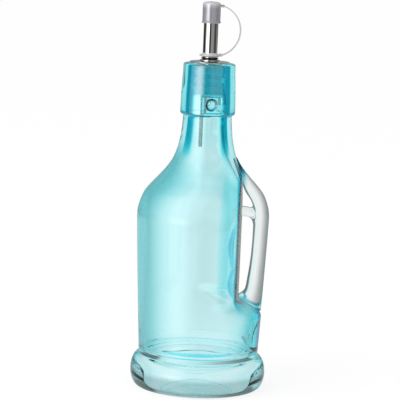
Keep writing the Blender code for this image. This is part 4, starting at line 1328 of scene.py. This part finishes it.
def add_studio():
    """A white studio: gloss sees a soft box and dark flags, glass sees white and two flags."""
    world = bpy.data.worlds.new("studio")
    bpy.context.scene.world = world
    world.use_nodes = True
    at = Nodes(world.node_tree)
    way = at.add("SeparateXYZ", Vector=at.add("TexCoord").outputs["Generated"]).outputs
    rise = way["Z"]
    turn = at.math("ADD", at.math("ARCTAN2", way["X"], way["Y"]), math.pi - CAMERA_TURN)
    turn = at.math("FRACT", at.math("DIVIDE", turn, 2 * math.pi))
    path = at.add("LightPath").outputs

    # Gloss: full contrast level with the bottle, softer below and above
    gloss = sector_ramp(at, turn, GLOSS_SECTORS, SOFT_BOX_LIGHT)
    level = at.band(rise, *GLOSS_LEVEL)
    gloss_light = at.mixed(level, glow(at, gloss, 0.35, 0.5), glow(at, gloss, 1.0, 0.0))
    gloss_light = at.mixed(at.band(rise, *GLOSS_UPPER), gloss_light, glow(at, gloss, 0.5, 0.2))

    # Hollow glass: body below, neck above, a grey cloud in the body's middle, white at the foot
    body = sector_ramp(at, turn, BODY_SECTORS, 1.0)
    neck = sector_ramp(at, turn, NECK_SECTORS, 1.0)
    hollow_light = at.mixed(at.band(rise, *NECK_LIGHT), body, neck)
    cloud = at.math("SUBTRACT", at.band(rise, *CLOUD_START), at.band(rise, *CLOUD_END))
    cloud = at.times(cloud, at.band(turn, *CLOUD_LEFT))
    cloud = at.times(cloud, at.rest(at.band(turn, *CLOUD_RIGHT)))
    hollow_light = at.mixed(cloud, hollow_light, grey(0.8))
    below = at.times(at.rest(at.band(rise, *FOOT_LIGHT)), 0.75)
    hollow_light = at.mixed(below, hollow_light, grey(0.97))

    # Solid glass: flags as well, but light that was turned back inside the glass comes out white
    solid = sector_ramp(at, turn, SOLID_SECTORS, 1.0)
    turned_inside = at.times(at.math("GREATER_THAN", path["Ray Depth"], 3.5), 0.9)
    solid_light = at.mixed(turned_inside, solid, grey(0.96))
    is_hollow = at.math("GREATER_THAN", path["Transmission Depth"], 2.5)
    seen_light = at.mixed(is_hollow, solid_light, hollow_light)
    seen_light = at.mixed(at.band(rise, *OVERHEAD), seen_light, grey(0.85))

    # Matt surfaces: a little more light from the soft box's side
    side = at.times(way["X"], SIDE_LIGHT * math.sin(SOFT_BOX_TURN))
    side = at.times(way["Y"], SIDE_LIGHT * math.cos(SOFT_BOX_TURN), side)
    side = at.math("ADD", side, ROUND_LIGHT)
    total = at.mixed(path["Is Diffuse Ray"], gloss_light, side)
    total = at.mixed(path["Is Transmission Ray"], total, seen_light)
    total = at.mixed(path["Is Camera Ray"], total, grey(1.0))
    at.put(at.tree.nodes["Background"], Color=total, Strength=1.0)


def add_lamp():
    """Soft box to the left and in front. Its mirror image comes from the studio."""
    lamp = bpy.data.lights.new("soft_box", "AREA")
    lamp.shape = "RECTANGLE"
    lamp.size = LAMP_SIZE
    lamp.size_y = LAMP_SIZE
    lamp.energy = LAMP_POWER
    made = placed("soft_box", lamp)
    way = LAMP_DISTANCE * Vector((math.sin(SOFT_BOX_TURN), math.cos(SOFT_BOX_TURN), 0))
    made.location = way + Vector((0, 0, LAMP_HEIGHT))
    aim = Vector((0, 0, BOTTLE_MIDDLE)) - made.location
    made.rotation_euler = aim.to_track_quat("-Z", "Y").to_euler()
    made.visible_glossy = False
    made.visible_transmission = False
    made.visible_camera = False


def add_floor():
    """A pale floor that glows a little and leaves no mirror image."""
    work = bmesh.new()
    bmesh.ops.create_circle(work, cap_ends=True, segments=64, radius=14.0)
    material = bpy.data.materials.new("pale_floor")
    material.use_nodes = True
    at = Nodes(material.node_tree)
    at.put(at.shader, Base_Color=grey(0.16), Roughness=1.0, Specular_IOR_Level=0.0)
    at.put(at.shader, Emission_Color=grey(1.0), Emission_Strength=FLOOR_GLOW)
    floor = finish_piece(work, "floor", material)
    floor.visible_glossy = False
    floor.visible_transmission = False


def add_camera():
    """The photograph's camera: in front, a little above the bottle, and rolled slightly."""
    camera = bpy.data.cameras.new("camera")
    camera.lens = CAMERA_LENS
    camera.sensor_width = 36.0
    camera.clip_end = 60.0
    made = placed("camera", camera)
    ahead = Vector((math.sin(CAMERA_TURN), math.cos(CAMERA_TURN), 0))
    right = Vector((math.cos(CAMERA_TURN), -math.sin(CAMERA_TURN), 0))
    place = -CAMERA_DISTANCE * ahead + CAMERA_ASIDE * right + Vector((0, 0, CAMERA_HEIGHT))
    look = ahead * math.cos(CAMERA_PITCH) - Vector((0, 0, math.sin(CAMERA_PITCH)))
    turn = look.to_track_quat("-Z", "Y").to_matrix().to_4x4()
    made.matrix_world = Matrix.Translation(place) @ turn @ Matrix.Rotation(CAMERA_ROLL, 4, "Z")
    bpy.context.scene.camera = made


def set_render():
    scene = bpy.context.scene
    scene.view_settings.view_transform = "Standard"
    scene.cycles.max_bounces = 32
    scene.cycles.transmission_bounces = 28
    scene.cycles.glossy_bounces = 16
    scene.cycles.transparent_max_bounces = 16


def main():
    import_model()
    groups = (soft_waves_group(), handling_group())
    aqua_glass, at = glass_material("aqua_glass", groups, BOTTLE_WAVE, BOTTLE_TINT, BOTTLE_DENSITY)
    coat_colour(at)
    clear_glass, at = glass_material("clear_glass", groups, BAR_WAVE, BAR_TINT, BAR_DENSITY)
    join_colour(at)
    steel, at = new_material("polished_steel", groups, STEEL_WAVE, STEEL_SMEARS, Metallic=1.0)
    # Painted shade in the seam between the plate's hub and the bead
    painted_seam_shade(at)
    # Steel darkened all over, as painted shade, for the thin air tube
    shaded_air_steel, at = new_material("shaded_thin_steel", groups, STEEL_WAVE, STEEL_SMEARS, Metallic=1.0)
    at.put(at.shader, Base_Color=AIR_TUBE_SHADED_COLOUR)
    plug, at = new_material("stopper_plastic", groups, PLASTIC_WAVE, PLUG_SMEARS, IOR=1.48)
    at.put(at.shader, Base_Color=PLUG_COLOUR)
    cap, at = new_material("cap_plastic", groups, PLASTIC_WAVE, CAP_SMEARS, IOR=1.48)
    tube_shaded_colour(at)

    make_bottle(aqua_glass)
    make_handle(clear_glass)
    make_plate(steel)
    make_tube(steel)
    make_air_tube(shaded_air_steel)
    make_stopper(plug)
    make_ring(cap)
    make_cap(cap)
    make_strap(cap)

    add_floor()
    add_studio()
    add_lamp()
    add_camera()
    set_render()


main()
